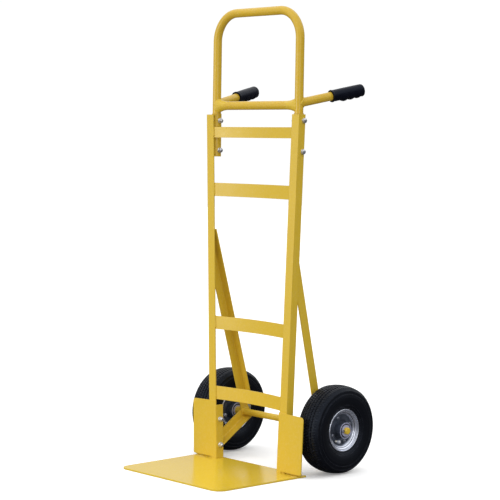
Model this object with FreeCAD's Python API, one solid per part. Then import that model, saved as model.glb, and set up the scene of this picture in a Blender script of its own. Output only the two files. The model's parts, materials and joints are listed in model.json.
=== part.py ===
import FreeCAD, Part
import math
import os

# Hand truck with a high loop handle, two side grips and pneumatic wheels.
# +X is the truck's right as seen from the front, +Y is backward (the wheel side) and +Z is up.
# The origin is on the floor, under the middle of the truck's overall box.  Sizes in mm, angles in degrees.

# ---- rails and crossbars ----
RAIL_TOP = 1045.0            # height of the rails' upper ends
RAIL_HALF_BOTTOM = 162.0     # outer corner of a rail from the middle, at the floor
RAIL_SPREAD = 35.5           # how much further out that corner is at the rails' upper ends
RAIL_FLANGE = 29.0           # front leg of the rail angle
RAIL_WEB = 26.0              # side leg of the rail angle
ANGLE_WALL = 3.0             # wall of every angle section
ANGLE_ROOT = 3.0             # root radius inside the angle
BAR_WALL = 3.0               # thickness of the crossbar strips
BAR_BOW = 15.0               # how far a crossbar's middle is bowed back
BAR_HEIGHTS = {"top_crossbar": 32.0, "upper_crossbar": 40.0, "lower_crossbar": 40.0, "bottom_crossbar": 40.0}
BAR_TAB_INSET = 2.0          # a crossbar's bow starts this far inside the rail's flange
TOP_BAR_DROP = 53.0          # top crossbar's middle below the rails' upper ends
UPPER_BAR_DROP = 225.0       # the same, for the upper crossbar
LOWER_BAR_SHARE = 0.4        # lower crossbar's middle, as a share of the rails' height
BOTTOM_BAR_MIDDLE = 205.0    # height of the bottom crossbar's middle

# ---- loop handle, cross tube, legs and grips ----
TUBE_OD = 25.4               # handle tube
TUBE_WALL = 2.0
COPE_GAP = 0.1               # weld gap where one tube's end is shaped to another's side
LOOP_RISE = 300.0            # loop's top above the rails' upper ends, at the tube axis
LOOP_BEND = 82.0             # bend radius at the tube axis
LOOP_DROP = 123.0            # loop's lower ends below the rails' upper ends
SOCKET_WALL = 1.6            # sleeve that holds each end of the loop
SOCKET_CLEARANCE = 0.2       # gap all round between loop and sleeve
SOCKET_TAIL = 3.0            # sleeve below the loop's lower end
SOCKET_RISE = 3.0            # sleeve above the rail's upper end
CROSS_TUBE_RISE = 26.5       # axis of the tube between the loop's legs, above the rails' upper ends
LEG_RAISE = 5.5              # where a side handle's axis leaves the loop's axis, above the cross tube's axis
LEG_LENGTH = 217.0           # side handle, from the loop's axis to its end under the grip
LEG_SPLAY = 14.3             # side handle, turned outward
LEG_RISE = 12.0              # side handle, turned upward
GRIP_LENGTH = 114.0
GRIP_WALL = 4.3
GRIP_LIP = 1.5               # extra radius of the lip at the grip's open end
GRIP_LIP_LENGTH = 5.0
GRIP_CAP = 6.0               # rubber beyond the tube's end
GRIP_ROUND = 11.0            # round at the closed end
GRIP_CLEARANCE = 0.05

# ---- toe plate and its brackets ----
PLATE_WALL = 4.4
PLATE_SIDE = 61.0            # toe plate outside the rails' corners, at its back edge
PLATE_TAPER = 6.0            # how much narrower each side is at the front edge
PLATE_REACH = 308.0          # toe plate in front of the rails' front face
PLATE_BACK = 32.0            # toe plate behind the rails' front face
PLATE_REST = 14.0            # the load's part of the plate ends this far in front of the rails' front face
PLATE_CORNER = 32.0          # round of the front corners
PLATE_BACK_CORNER = 5.0
BRACKET_WALL = 3.0
BRACKET_WING = 70.0          # bracket outside the rail's corner
BRACKET_TOP = 180.0
BRACKET_SIDE = 27.0          # depth of the leg that turns back along the rail
BRACKET_SIDE_DROP = 14.0     # that leg stops this far below the bracket's top
BRACKET_SLOT = 4.5           # slot between the wing and the toe plate
BRACKET_FOOT = 12.0          # the wing's part inside this, from the rail's corner, stands on the toe plate
BRACKET_TOP_CORNER = 10.0
BRACKET_LOW_CORNER = 7.0
BRACKET_BEND = 4.5

# ---- braces and struts to the axle ----
BRACE_LEG = 29.0             # both legs of the brace and strut angles
BRACE_ANGLE = 15.0           # brace from the vertical
BRACE_BACKSET = 4.0          # brace's middle line behind the axle
BRACE_SHARE = 0.67           # brace's upper end, as a share of the rails' height
STRUT_ANGLE = 32.5           # strut above the level
STRUT_TAIL = 22.0            # strut beyond the axle
FIT_GAP = 0.3                # gap between neighbours that are welded or bolted

# ---- axle ----
TYRE_SETBACK = 11.0          # front of the tyres behind the rails' front face
AXLE_RADIUS = 10.0
AXLE_TAIL = 7.6              # axle beyond the split pin's middle
AXLE_CHAMFER = 1.0
AXLE_WELD_CLEARANCE = 0.1    # axle in the struts' holes
SPACER_WALL = 3.0
SPACER_CLEARANCE = 0.15
WASHER_RIM = 7.0             # washer outside the axle's surface
WASHER_THICK = 2.0
RUN_GAP = 0.3                # side gap between bearing and washer
PIN_RADIUS = 1.8
PIN_HOLE = 2.0
PIN_EYE = 3.6                # radius of the pin's eye, at the wire's middle
PIN_EYE_WIRE = 1.25
PIN_LEG = 1.1                # radius of each of the pin's spread legs
PIN_LEG_OFFSET = 0.5         # a leg's start from the pin's middle line
PIN_SPREAD = 56.0            # each leg, turned from the pin's line
PIN_TAIL = 9.0
PIN_STAND = 1.0              # straight part of the pin outside the axle, at each end

# ---- wheels ----
TYRE_RADIUS = 130.0
TYRE_HALF = 43.0
TYRE_SIDE_GAP = 17.7         # tyre's side from the rail's corner at the tyre's top
TYRE_WALL = 8.5              # tyre under the tread
SIDEWALL = 10.5              # tyre beside the tread
CAVITY_CORNER = 22.0         # round of the space inside the tyre
TREAD_EDGE = (11.5, 4.2)     # edge of the tread: in from the side, below the crown
SHOULDER_TOP = (5.2, 10.8)   # points of the shoulder, measured the same way
SHOULDER_FOOT = (2.2, 21.0)
BULGE_DROP = 4.0             # widest place of the tyre below the middle of its sidewall
BEAD_RADIUS = 51.0           # tyre's bore
BEAD_TOE = 18.0              # half width of the gap between the beads
BEAD_GAP_DEPTH = 2.0
TUBE_GAP = 0.3
INNER_TUBE_WALL = 2.5
RIM_WALL = 1.8
RIM_CLEARANCE = 0.2          # tyre's bore over the rim's barrel
RIM_FLANGE = 11.8            # flange of the rim above its barrel
RIM_FLANGE_LEAN = 7.0        # how far the flange leans out from its foot
RIM_LIP = 2.0                # rolled edge of the flange
RIM_HALF = 34.0
DISC_OUT = 20.0              # outer face of a rim half's disc from the wheel's middle
DISC_DISH = 3.0              # how far the disc is dished in next to the hub
DISC_SLOPE = 4.0             # length of the dish's slope, and of the flat that holds the hub
HUB_WALL = 2.5
HUB_HALF = 40.0
HUB_STEP = 2.0               # shoulder inside the hub, between the bearings
BEARING_RING = 11.0          # bearing from bore to outside
BEARING_WIDTH = 12.0
BEARING_INSET = 1.5          # bearing's face inside the hub's end
BEARING_CLEARANCE = 0.05     # radial, bearing on axle
BEARING_RACE = 3.2           # width of the bearing's rings, seen from the side
BEARING_SHIELD = 0.6         # depth of the shield below the rings' faces
RIM_BOLT_COUNT = 4
RIM_BOLT_START = 112.0
VALVE_ANGLE = 237.0
VALVE_PLANE = 9.0            # valve's radial part from the wheel's middle
VALVE_RADIUS = 3.6
VALVE_HOLE = 4.0
VALVE_END = 33.0
CAP_RADIUS = 4.4
CAP_LENGTH = 9.0
CAP_GRIP = 4.95              # length of valve inside the cap

# ---- bolts ----
M8 = {"shank": 4.0, "flats": 13.0, "head": 5.3, "nut": 6.5, "washer": 8.0, "washer_thick": 1.6}
M6 = {"shank": 3.0, "flats": 10.0, "head": 4.0, "nut": 5.0}
BOLT_CLEARANCE = 0.3         # hole over shank
THREAD_CLEARANCE = 0.05      # nut over shank
BOLT_TAIL = 3.0              # shank past its nut
LOOP_BOLT_DROPS = (18.0, 107.0)   # loop bolts below the rails' upper ends
TOE_BOLT_HEIGHTS = (123.0, 45.0)
TOE_BOLT_BACK = 14.0         # toe bolts behind the rails' front face

# ---- places that follow from the sizes above ----
BAR_MIDDLES = {
    "top_crossbar": RAIL_TOP - TOP_BAR_DROP,
    "upper_crossbar": RAIL_TOP - UPPER_BAR_DROP,
    "lower_crossbar": RAIL_TOP * LOWER_BAR_SHARE,
    "bottom_crossbar": BOTTOM_BAR_MIDDLE,
}
AXLE_BACK = TYRE_RADIUS + TYRE_SETBACK
RAIL_Y = (PLATE_REACH - AXLE_BACK - TYRE_RADIUS) / 2
RAIL_SLOPE = RAIL_SPREAD / RAIL_TOP
RAIL_TILT = math.atan(RAIL_SLOPE)
AXLE_Y = RAIL_Y + AXLE_BACK
AXLE_Z = TYRE_RADIUS
LOOP_TOP = RAIL_TOP + LOOP_RISE
LOOP_FOOT = RAIL_TOP - LOOP_DROP
LOOP_BOLT_HEIGHTS = [RAIL_TOP - drop for drop in LOOP_BOLT_DROPS]
SOCKET_FOOT = LOOP_FOOT - SOCKET_TAIL
SOCKET_BORE = TUBE_OD / 2 + SOCKET_CLEARANCE
SOCKET_RADIUS = SOCKET_BORE + SOCKET_WALL
LOOP_Y = RAIL_Y + ANGLE_WALL + BAR_WALL + SOCKET_RADIUS
LOOP_HALF = RAIL_HALF_BOTTOM + SOCKET_FOOT * RAIL_SLOPE - ANGLE_WALL - FIT_GAP - SOCKET_RADIUS
CROSS_TUBE_HEIGHT = RAIL_TOP + CROSS_TUBE_RISE
LEG_HEIGHT = CROSS_TUBE_HEIGHT + LEG_RAISE
GRIP_RADIUS = TUBE_OD / 2 + GRIP_WALL
PLATE_HALF_BACK = RAIL_HALF_BOTTOM + PLATE_SIDE
PLATE_HALF_FRONT = PLATE_HALF_BACK - PLATE_TAPER
BRACE_TOP = RAIL_TOP * BRACE_SHARE
NEST_Y = ANGLE_WALL + ANGLE_ROOT + FIT_GAP   # nested angles start behind the rail's root
SPACER_RADIUS = AXLE_RADIUS + SPACER_WALL
WASHER_RADIUS = AXLE_RADIUS + WASHER_RIM
WASHER_FACE = HUB_HALF - BEARING_INSET + RUN_GAP
WHEEL_X = RAIL_HALF_BOTTOM + 2 * TYRE_RADIUS * RAIL_SLOPE + TYRE_SIDE_GAP + TYRE_HALF
PIN_PLACE = WHEEL_X + WASHER_FACE + WASHER_THICK + PIN_RADIUS + FIT_GAP
AXLE_HALF = PIN_PLACE + AXLE_TAIL
BEARING_RADIUS = AXLE_RADIUS + BEARING_RING
HUB_RADIUS = BEARING_RADIUS + HUB_WALL
HUB_SHOULDER = BEARING_RADIUS - HUB_STEP
RIM_SEAT = BEAD_RADIUS - RIM_CLEARANCE
RIM_EDGE = RIM_SEAT + RIM_FLANGE
DISC_RIM = RIM_SEAT - RIM_WALL - 5.2         # outer radius of the disc's flat part
DISC_FLAT = HUB_RADIUS + 2 * DISC_SLOPE      # its inner radius
RIM_BOLT_CIRCLE = (DISC_RIM + DISC_FLAT) / 2
VALVE_CIRCLE = RIM_BOLT_CIRCLE
FAR = 2000.0                 # larger than the truck, for cutting

Vec = FreeCAD.Vector
X_AXIS = Vec(1, 0, 0)
Y_AXIS = Vec(0, 1, 0)
Z_AXIS = Vec(0, 0, 1)


# ---- helpers ----
def save(name, shape):
    shape.exportStep("parts/" + name + ".step")


def mirrored(shape):
    return shape.mirror(Vec(0, 0, 0), X_AXIS)


def group(shapes):
    return Part.makeCompound(shapes)


def box(low, high):
    return Part.makeBox(high[0] - low[0], high[1] - low[1], high[2] - low[2], Vec(*low))


def rod(radius, start, end):
    along = end - start
    return Part.makeCylinder(radius, along.Length, start, along)


def pipe(outer, inner, start, end):
    return rod(outer, start, end).cut(rod(inner, start, end))


def prism(points, direction):
    return Part.Face(Part.makePolygon(points + points[:1])).extrude(direction)


def hexagon(flats, start, direction, length):
    side = direction.cross(Z_AXIS if abs(direction.z) < 0.9 else X_AXIS).normalize()
    up = direction.cross(side).normalize()
    reach = flats / math.sqrt(3)
    corners = []
    for step in range(6):
        turn = math.radians(60 * step)
        corners.append(start + side * (reach * math.cos(turn)) + up * (reach * math.sin(turn)))
    return prism(corners, direction * length)


def rail_half(height):
    # distance of a rail's outer corner from the middle, at a height
    return RAIL_HALF_BOTTOM + height * RAIL_SLOPE


def on_rail(shape):
    # places a shape drawn beside an upright right rail, whose corner is the Z axis, on the leaning rail
    turned = shape.copy()
    turned.rotate(Vec(0, 0, 0), Y_AXIS, math.degrees(RAIL_TILT))
    turned.translate(Vec(RAIL_HALF_BOTTOM, RAIL_Y, 0))
    return turned


def angle_section(flange, web, wall, length):
    # flange along -X at y = 0, web along +Y at x = 0, drawn along Z
    root = Vec(-wall - ANGLE_ROOT, wall, 0)
    root_end = Vec(-wall, wall + ANGLE_ROOT, 0)
    bulge = ANGLE_ROOT * (1 - math.sqrt(0.5))
    middle = Vec(-wall - bulge, wall + bulge, 0)
    edges = [
        Part.LineSegment(Vec(0, 0, 0), Vec(-flange, 0, 0)).toShape(),
        Part.LineSegment(Vec(-flange, 0, 0), Vec(-flange, wall, 0)).toShape(),
        Part.LineSegment(Vec(-flange, wall, 0), root).toShape(),
        Part.Arc(root, middle, root_end).toShape(),
        Part.LineSegment(root_end, Vec(-wall, web, 0)).toShape(),
        Part.LineSegment(Vec(-wall, web, 0), Vec(0, web, 0)).toShape(),
        Part.LineSegment(Vec(0, web, 0), Vec(0, 0, 0)).toShape(),
    ]
    return Part.Face(Part.Wire(edges)).extrude(Vec(0, 0, length))


def cross_bolt(size, head_x, nut_x, y, z):
    # bolt along X on the right side: its head outside head_x, its nut inside nut_x, washers under both
    inward = Vec(-1, 0, 0)
    thick = size["washer_thick"]
    under_head = Vec(head_x + thick, y, z)
    nut_start = Vec(nut_x - thick, y, z)
    tip = nut_start + inward * (size["nut"] + BOLT_TAIL)
    bolt = rod(size["shank"], under_head, tip)
    bolt = bolt.fuse(hexagon(size["flats"], under_head, Vec(1, 0, 0), size["head"]))
    nut = hexagon(size["flats"], nut_start, inward, size["nut"])
    nut = nut.cut(rod(size["shank"] + THREAD_CLEARANCE, nut_start, tip))
    hole = size["shank"] + BOLT_CLEARANCE
    outer_washer = pipe(size["washer"], hole, Vec(head_x, y, z), under_head)
    inner_washer = pipe(size["washer"], hole, Vec(nut_x, y, z), nut_start)
    return bolt, nut, [outer_washer, inner_washer]


def bolt_hole(size, y, z):
    return rod(size["shank"] + BOLT_CLEARANCE, Vec(0, y, z), Vec(FAR, y, z))


# ---- frame ----
def rail():
    drawn = angle_section(RAIL_FLANGE, RAIL_WEB, ANGLE_WALL, RAIL_TOP + 2 * RAIL_WEB)
    bar = on_rail(drawn.translate(Vec(0, 0, -RAIL_WEB)))
    bar = bar.common(box((0, -FAR, PLATE_WALL), (FAR, FAR, RAIL_TOP)))
    for height in LOOP_BOLT_HEIGHTS:
        bar = bar.cut(bolt_hole(M8, LOOP_Y, height))
    for height in TOE_BOLT_HEIGHTS:
        bar = bar.cut(bolt_hole(M8, RAIL_Y + TOE_BOLT_BACK, height))
    return bar


def crossbar(name):
    height = BAR_HEIGHTS[name]
    low = BAR_MIDDLES[name] - height / 2
    end = rail_half(low) - ANGLE_WALL - ANGLE_ROOT - FIT_GAP
    tab = rail_half(low) - RAIL_FLANGE - BAR_TAB_INSET
    front = RAIL_Y + ANGLE_WALL
    back = front + BAR_WALL

    def line(x0, y0, x1, y1):
        return Part.LineSegment(Vec(x0, y0, low), Vec(x1, y1, low)).toShape()

    def arc(y):
        return Part.Arc(Vec(-tab, y, low), Vec(0, y + BAR_BOW, low), Vec(tab, y, low)).toShape()

    edges = [
        line(-end, front, -tab, front),
        arc(front),
        line(tab, front, end, front),
        line(end, front, end, back),
        line(end, back, tab, back),
        arc(back),
        line(-tab, back, -end, back),
        line(-end, back, -end, front),
    ]
    return Part.Face(Part.Wire(edges)).extrude(Vec(0, 0, height))


# ---- handles ----
def loop_path(foot):
    straight_top = LOOP_TOP - LOOP_BEND
    inner = LOOP_HALF - LOOP_BEND
    slant = LOOP_BEND * math.sqrt(0.5)
    left_foot = Vec(-LOOP_HALF, LOOP_Y, foot)
    left_bend = Vec(-LOOP_HALF, LOOP_Y, straight_top)
    left_top = Vec(-inner, LOOP_Y, LOOP_TOP)
    left_middle = Vec(-inner - slant, LOOP_Y, straight_top + slant)

    def across(point):
        return Vec(-point.x, point.y, point.z)

    edges = [
        Part.LineSegment(left_foot, left_bend).toShape(),
        Part.Arc(left_bend, left_middle, left_top).toShape(),
        Part.LineSegment(left_top, across(left_top)).toShape(),
        Part.Arc(across(left_top), across(left_middle), across(left_bend)).toShape(),
        Part.LineSegment(across(left_bend), across(left_foot)).toShape(),
    ]
    return Part.Wire(edges)


def swept(radius, foot):
    path = loop_path(foot)
    circle = Part.makeCircle(radius, Vec(-LOOP_HALF, LOOP_Y, foot), Z_AXIS)
    return path.makePipeShell([Part.Wire([circle])], True, False)


def loop_handle():
    tube = swept(TUBE_OD / 2, LOOP_FOOT).cut(swept(TUBE_OD / 2 - TUBE_WALL, LOOP_FOOT))
    for height in LOOP_BOLT_HEIGHTS:
        hole = rod(M8["shank"] + BOLT_CLEARANCE, Vec(-FAR, LOOP_Y, height), Vec(FAR, LOOP_Y, height))
        tube = tube.cut(hole)
    return tube


def handle_socket():
    foot = Vec(LOOP_HALF, LOOP_Y, SOCKET_FOOT)
    top = Vec(LOOP_HALF, LOOP_Y, RAIL_TOP + SOCKET_RISE)
    sleeve = pipe(SOCKET_RADIUS, SOCKET_BORE, foot, top)
    for height in LOOP_BOLT_HEIGHTS:
        sleeve = sleeve.cut(bolt_hole(M8, LOOP_Y, height))
    return sleeve


def cross_tube():
    start = Vec(-LOOP_HALF, LOOP_Y, CROSS_TUBE_HEIGHT)
    end = Vec(LOOP_HALF, LOOP_Y, CROSS_TUBE_HEIGHT)
    tube = pipe(TUBE_OD / 2, TUBE_OD / 2 - TUBE_WALL, start, end)
    for side in (-1, 1):
        foot = Vec(side * LOOP_HALF, LOOP_Y, LOOP_FOOT)
        tube = tube.cut(rod(TUBE_OD / 2 + COPE_GAP, foot, foot + Z_AXIS * (LOOP_TOP - LOOP_FOOT)))
    return tube


def leg_line():
    splay = math.radians(LEG_SPLAY)
    rise = math.radians(LEG_RISE)
    start = Vec(LOOP_HALF, LOOP_Y, LEG_HEIGHT)
    along = Vec(math.sin(splay) * math.cos(rise), math.cos(splay) * math.cos(rise), math.sin(rise))
    return start, along


def handle_leg():
    start, along = leg_line()
    tube = pipe(TUBE_OD / 2, TUBE_OD / 2 - TUBE_WALL, start, start + along * LEG_LENGTH)
    foot = Vec(LOOP_HALF, LOOP_Y, LOOP_FOOT)
    tube = tube.cut(rod(TUBE_OD / 2 + COPE_GAP, foot, foot + Z_AXIS * (LOOP_TOP - LOOP_FOOT)))
    across = Vec(0, LOOP_Y, CROSS_TUBE_HEIGHT)
    tube = tube.cut(rod(TUBE_OD / 2 + COPE_GAP, across, across + X_AXIS * LOOP_HALF))
    return max(tube.Solids, key=lambda solid: solid.Volume)


def grip():
    start, along = leg_line()
    closed_end = start + along * (LEG_LENGTH + GRIP_CAP)
    open_end = closed_end - along * GRIP_LENGTH
    body = rod(GRIP_RADIUS, open_end, closed_end)
    far_edges = [edge for edge in body.Edges if edge.Curve.TypeId == "Part::GeomCircle"
                 and (edge.Curve.Center - closed_end).Length < 0.01]
    body = body.makeFillet(GRIP_ROUND, far_edges)
    body = body.fuse(rod(GRIP_RADIUS + GRIP_LIP, open_end, open_end + along * GRIP_LIP_LENGTH))
    bore = rod(TUBE_OD / 2 + GRIP_CLEARANCE, open_end, start + along * (LEG_LENGTH + GRIP_CLEARANCE))
    return body.cut(bore)


# ---- toe plate and brackets ----
def toe_plate():
    # drawn as the load's part and the part under the rails, so that each keeps its own upper face
    front = RAIL_Y - PLATE_REACH
    back = RAIL_Y + PLATE_BACK
    seam = RAIL_Y - PLATE_REST
    seam_half = PLATE_HALF_BACK - PLATE_TAPER * (back - seam) / (back - front)

    def piece(half_low, low, half_high, high, radius, at_low):
        outline = [
            Vec(-half_low, low, 0),
            Vec(half_low, low, 0),
            Vec(half_high, high, 0),
            Vec(-half_high, high, 0),
        ]
        plate = prism(outline, Vec(0, 0, PLATE_WALL))
        corner_y = low if at_low else high
        corners = [edge for edge in plate.Edges if abs(edge.Vertexes[0].Y - corner_y) < FIT_GAP
                   and abs(edge.Vertexes[1].Y - corner_y) < FIT_GAP
                   and abs(edge.Vertexes[0].Z - edge.Vertexes[1].Z) > PLATE_WALL / 2]
        return plate.makeFillet(radius, corners)

    load_part = piece(PLATE_HALF_FRONT, front, seam_half, seam, PLATE_CORNER, True)
    rail_part = piece(seam_half, seam, PLATE_HALF_BACK, back, PLATE_BACK_CORNER, False)
    return load_part.fuse(rail_part)


def outer_corner(x, z, radius, up):
    # what is cut from a plate's outer corner to round it, drawn beside the upright rail
    low = z - radius if up else z - 1
    high = z + 1 if up else z + radius
    block = box((x - radius, -2 * BRACKET_WALL, low), (x + 1, BRACKET_WALL, high))
    middle = z - radius if up else z + radius
    return block.cut(rod(radius, Vec(x - radius, -FAR, middle), Vec(x - radius, FAR, middle)))


def toe_bracket():
    inner = -RAIL_FLANGE - BRACKET_WALL
    slant = BRACKET_BEND * (1 - math.sqrt(0.5))
    bend_start = Vec(inner + BRACKET_BEND, -BRACKET_WALL, 0)
    bend_end = Vec(inner, BRACKET_BEND - BRACKET_WALL, 0)
    bend_middle = Vec(inner + slant, slant - BRACKET_WALL, 0)

    def line(first, second):
        return Part.LineSegment(first, second).toShape()

    edges = [
        line(Vec(BRACKET_WING, -BRACKET_WALL, 0), bend_start),
        Part.Arc(bend_start, bend_middle, bend_end).toShape(),
        line(bend_end, Vec(inner, BRACKET_SIDE, 0)),
        line(Vec(inner, BRACKET_SIDE, 0), Vec(-RAIL_FLANGE, BRACKET_SIDE, 0)),
        line(Vec(-RAIL_FLANGE, BRACKET_SIDE, 0), Vec(-RAIL_FLANGE, 0, 0)),
        line(Vec(-RAIL_FLANGE, 0, 0), Vec(BRACKET_WING, 0, 0)),
        line(Vec(BRACKET_WING, 0, 0), Vec(BRACKET_WING, -BRACKET_WALL, 0)),
    ]
    sheet = Part.Face(Part.Wire(edges)).extrude(Vec(0, 0, BRACKET_TOP))
    sheet = sheet.cut(box((inner - 1, 0, BRACKET_TOP - BRACKET_SIDE_DROP), (0, FAR, FAR)))
    slot_top = PLATE_WALL + BRACKET_SLOT
    sheet = sheet.cut(outer_corner(BRACKET_WING, BRACKET_TOP, BRACKET_TOP_CORNER, True))
    sheet = sheet.cut(outer_corner(BRACKET_WING, slot_top, BRACKET_LOW_CORNER, False))
    sheet = on_rail(sheet)
    slot_x = RAIL_HALF_BOTTOM - BRACKET_FOOT
    sheet = sheet.cut(box((slot_x, -FAR, -FAR), (FAR, FAR, slot_top)))
    sheet = sheet.cut(box((0, -FAR, -FAR), (FAR, FAR, PLATE_WALL)))
    for height in TOE_BOLT_HEIGHTS:
        sheet = sheet.cut(bolt_hole(M8, RAIL_Y + TOE_BOLT_BACK, height))
    return sheet


# ---- braces, struts and axle ----
def sloped_angle(length):
    # web flat against the inside of the rail's web, flange at the rear edge turned inward, drawn along Z
    bar = angle_section(BRACE_LEG, BRACE_LEG, ANGLE_WALL, length)
    return bar.mirror(Vec(0, 0, 0), Y_AXIS).translate(Vec(-ANGLE_WALL, BRACE_LEG / 2, 0))


def above_strut():
    # space above the strut's upper edge, beside the upright rail
    slope = math.radians(STRUT_ANGLE)
    block = box((-FAR, -FAR, BRACE_LEG / 2), (FAR, FAR, FAR))
    block.rotate(Vec(0, 0, 0), X_AXIS, math.degrees(slope))
    block.translate(Vec(0, AXLE_BACK, AXLE_Z))
    return block


def rear_brace():
    bar = sloped_angle(FAR).translate(Vec(0, 0, -TYRE_RADIUS))
    bar.rotate(Vec(0, 0, 0), X_AXIS, BRACE_ANGLE)
    bar.translate(Vec(0, AXLE_BACK + BRACE_BACKSET, AXLE_Z))
    bar = bar.common(above_strut())
    bar = bar.common(box((-FAR, NEST_Y, 0), (FAR, FAR, BRACE_TOP)))
    return on_rail(bar)


def axle_strut():
    bar = sloped_angle(FAR).translate(Vec(0, 0, STRUT_TAIL - FAR))
    bar.rotate(Vec(0, 0, 0), X_AXIS, STRUT_ANGLE - 90)
    bar.translate(Vec(0, AXLE_BACK, AXLE_Z))
    bar = bar.common(box((-FAR, NEST_Y, PLATE_WALL), (FAR, FAR, FAR)))
    notch = -RAIL_FLANGE + FIT_GAP
    bar = bar.cut(box((-FAR, -FAR, -FAR), (notch, BRACKET_SIDE + FIT_GAP, FAR)))
    bar = on_rail(bar)
    bar = bar.cut(rod(AXLE_RADIUS + AXLE_WELD_CLEARANCE, Vec(0, AXLE_Y, AXLE_Z), Vec(FAR, AXLE_Y, AXLE_Z)))
    for height in TOE_BOLT_HEIGHTS:
        bar = bar.cut(bolt_hole(M8, RAIL_Y + TOE_BOLT_BACK, height))
    return bar


def axle():
    shaft = rod(AXLE_RADIUS, Vec(-AXLE_HALF, AXLE_Y, AXLE_Z), Vec(AXLE_HALF, AXLE_Y, AXLE_Z))
    rims = [edge for edge in shaft.Edges if edge.Curve.TypeId == "Part::GeomCircle"]
    shaft = shaft.makeChamfer(AXLE_CHAMFER, rims)
    for x in (-PIN_PLACE, PIN_PLACE):
        shaft = shaft.cut(rod(PIN_HOLE, Vec(x, -FAR, AXLE_Z), Vec(x, FAR, AXLE_Z)))
    return shaft


def axle_spacer():
    start = Vec(rail_half(AXLE_Z + SPACER_RADIUS) - ANGLE_WALL + FIT_GAP, AXLE_Y, AXLE_Z)
    end = Vec(WHEEL_X - WASHER_FACE - WASHER_THICK, AXLE_Y, AXLE_Z)
    return pipe(SPACER_RADIUS, AXLE_RADIUS + SPACER_CLEARANCE, start, end)


def axle_washers():
    washers = []
    for place in (WHEEL_X - WASHER_FACE - WASHER_THICK, WHEEL_X + WASHER_FACE):
        start = Vec(place, AXLE_Y, AXLE_Z)
        end = start + X_AXIS * WASHER_THICK
        washers.append(pipe(WASHER_RADIUS, AXLE_RADIUS + SPACER_CLEARANCE, start, end))
    return washers


def split_pin():
    head = AXLE_Y - AXLE_RADIUS - PIN_STAND
    tail = AXLE_Y + AXLE_RADIUS + PIN_STAND
    shank = rod(PIN_RADIUS, Vec(PIN_PLACE, head, AXLE_Z), Vec(PIN_PLACE, tail, AXLE_Z))
    pin = shank.fuse(Part.makeTorus(PIN_EYE, PIN_EYE_WIRE, Vec(PIN_PLACE, head - PIN_EYE, AXLE_Z), X_AXIS))
    spread = math.radians(PIN_SPREAD)
    for side in (-1, 1):
        start = Vec(PIN_PLACE, tail - PIN_STAND, AXLE_Z + side * PIN_LEG_OFFSET)
        reach = Vec(0, math.cos(spread), side * math.sin(spread)) * PIN_TAIL
        pin = pin.fuse(rod(PIN_LEG, start, start + reach))
    return pin


# ---- wheel, drawn round the X axis at the origin, outboard side towards +X ----
def ring(points):
    # a ring turned round the X axis from an outline of (along the axle, radius) corners
    outline = [Vec(along, 0, radius) for along, radius in points]
    return Part.Face(Part.makePolygon(outline + outline[:1])).revolve(Vec(0, 0, 0), X_AXIS, 360)


def tube_ring(inner, outer, start, end):
    return ring([(start, inner), (end, inner), (end, outer), (start, outer)])


def tyre_cavity(inset):
    # space inside the tyre, less an inset all round
    half = TYRE_HALF - SIDEWALL - inset
    low = BEAD_RADIUS + RIM_CLEARANCE + inset
    high = TYRE_RADIUS - TYRE_WALL - inset
    corner = CAVITY_CORNER - inset
    slant = corner * (1 - math.sqrt(0.5))
    corners = []
    for out, up in ((1, 1), (1, -1), (-1, -1), (-1, 1)):
        x = out * half
        radius = high if up > 0 else low
        along = Vec(x - out * corner, 0, radius)
        beside = Vec(x, 0, radius - up * corner)
        middle = Vec(x - out * slant, 0, radius - up * slant)
        corners.append((along, middle, beside) if out == up else (beside, middle, along))
    edges = []
    for index, (first, middle, last) in enumerate(corners):
        following = corners[(index + 1) % len(corners)][0]
        edges.append(Part.Arc(first, middle, last).toShape())
        edges.append(Part.LineSegment(last, following).toShape())
    return Part.Face(Part.Wire(edges)).revolve(Vec(0, 0, 0), X_AXIS, 360)


def tyre():
    def from_crown(place):
        return (TYRE_HALF - place[0], TYRE_RADIUS - place[1])

    heel = (RIM_HALF - RIM_FLANGE_LEAN - FIT_GAP, BEAD_RADIUS)
    lip = (RIM_HALF - RIM_LIP - FIT_GAP, RIM_EDGE + FIT_GAP)
    bulge = (TYRE_HALF, (TYRE_RADIUS + RIM_EDGE) / 2 - BULGE_DROP)
    shoulder_foot = from_crown(SHOULDER_FOOT)
    shoulder_top = from_crown(SHOULDER_TOP)
    tread_edge = from_crown(TREAD_EDGE)

    def point(place, side):
        return Vec(side * place[0], 0, place[1])

    def arc(first, middle, last, side):
        return Part.Arc(point(first, side), point(middle, side), point(last, side)).toShape()

    def half(side):
        return [
            Part.LineSegment(point(heel, side), point(lip, side)).toShape(),
            arc(lip, bulge, shoulder_foot, side),
            arc(shoulder_foot, shoulder_top, tread_edge, side),
        ]

    crown = Part.Arc(point(tread_edge, 1), Vec(0, 0, TYRE_RADIUS), point(tread_edge, -1)).toShape()
    bore = Part.LineSegment(point(heel, -1), point(heel, 1)).toShape()
    outline = Part.Wire(half(1) + [crown] + half(-1)[::-1] + [bore])
    body = Part.Face(outline).revolve(Vec(0, 0, 0), X_AXIS, 360)
    body = body.cut(tyre_cavity(0))
    gap_foot = BEAD_RADIUS - BEAD_GAP_DEPTH
    return body.cut(tube_ring(gap_foot, BEAD_RADIUS + BEAD_GAP_DEPTH, -BEAD_TOE, BEAD_TOE))


def inner_tube():
    return tyre_cavity(TUBE_GAP).cut(tyre_cavity(TUBE_GAP + INNER_TUBE_WALL))


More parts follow.
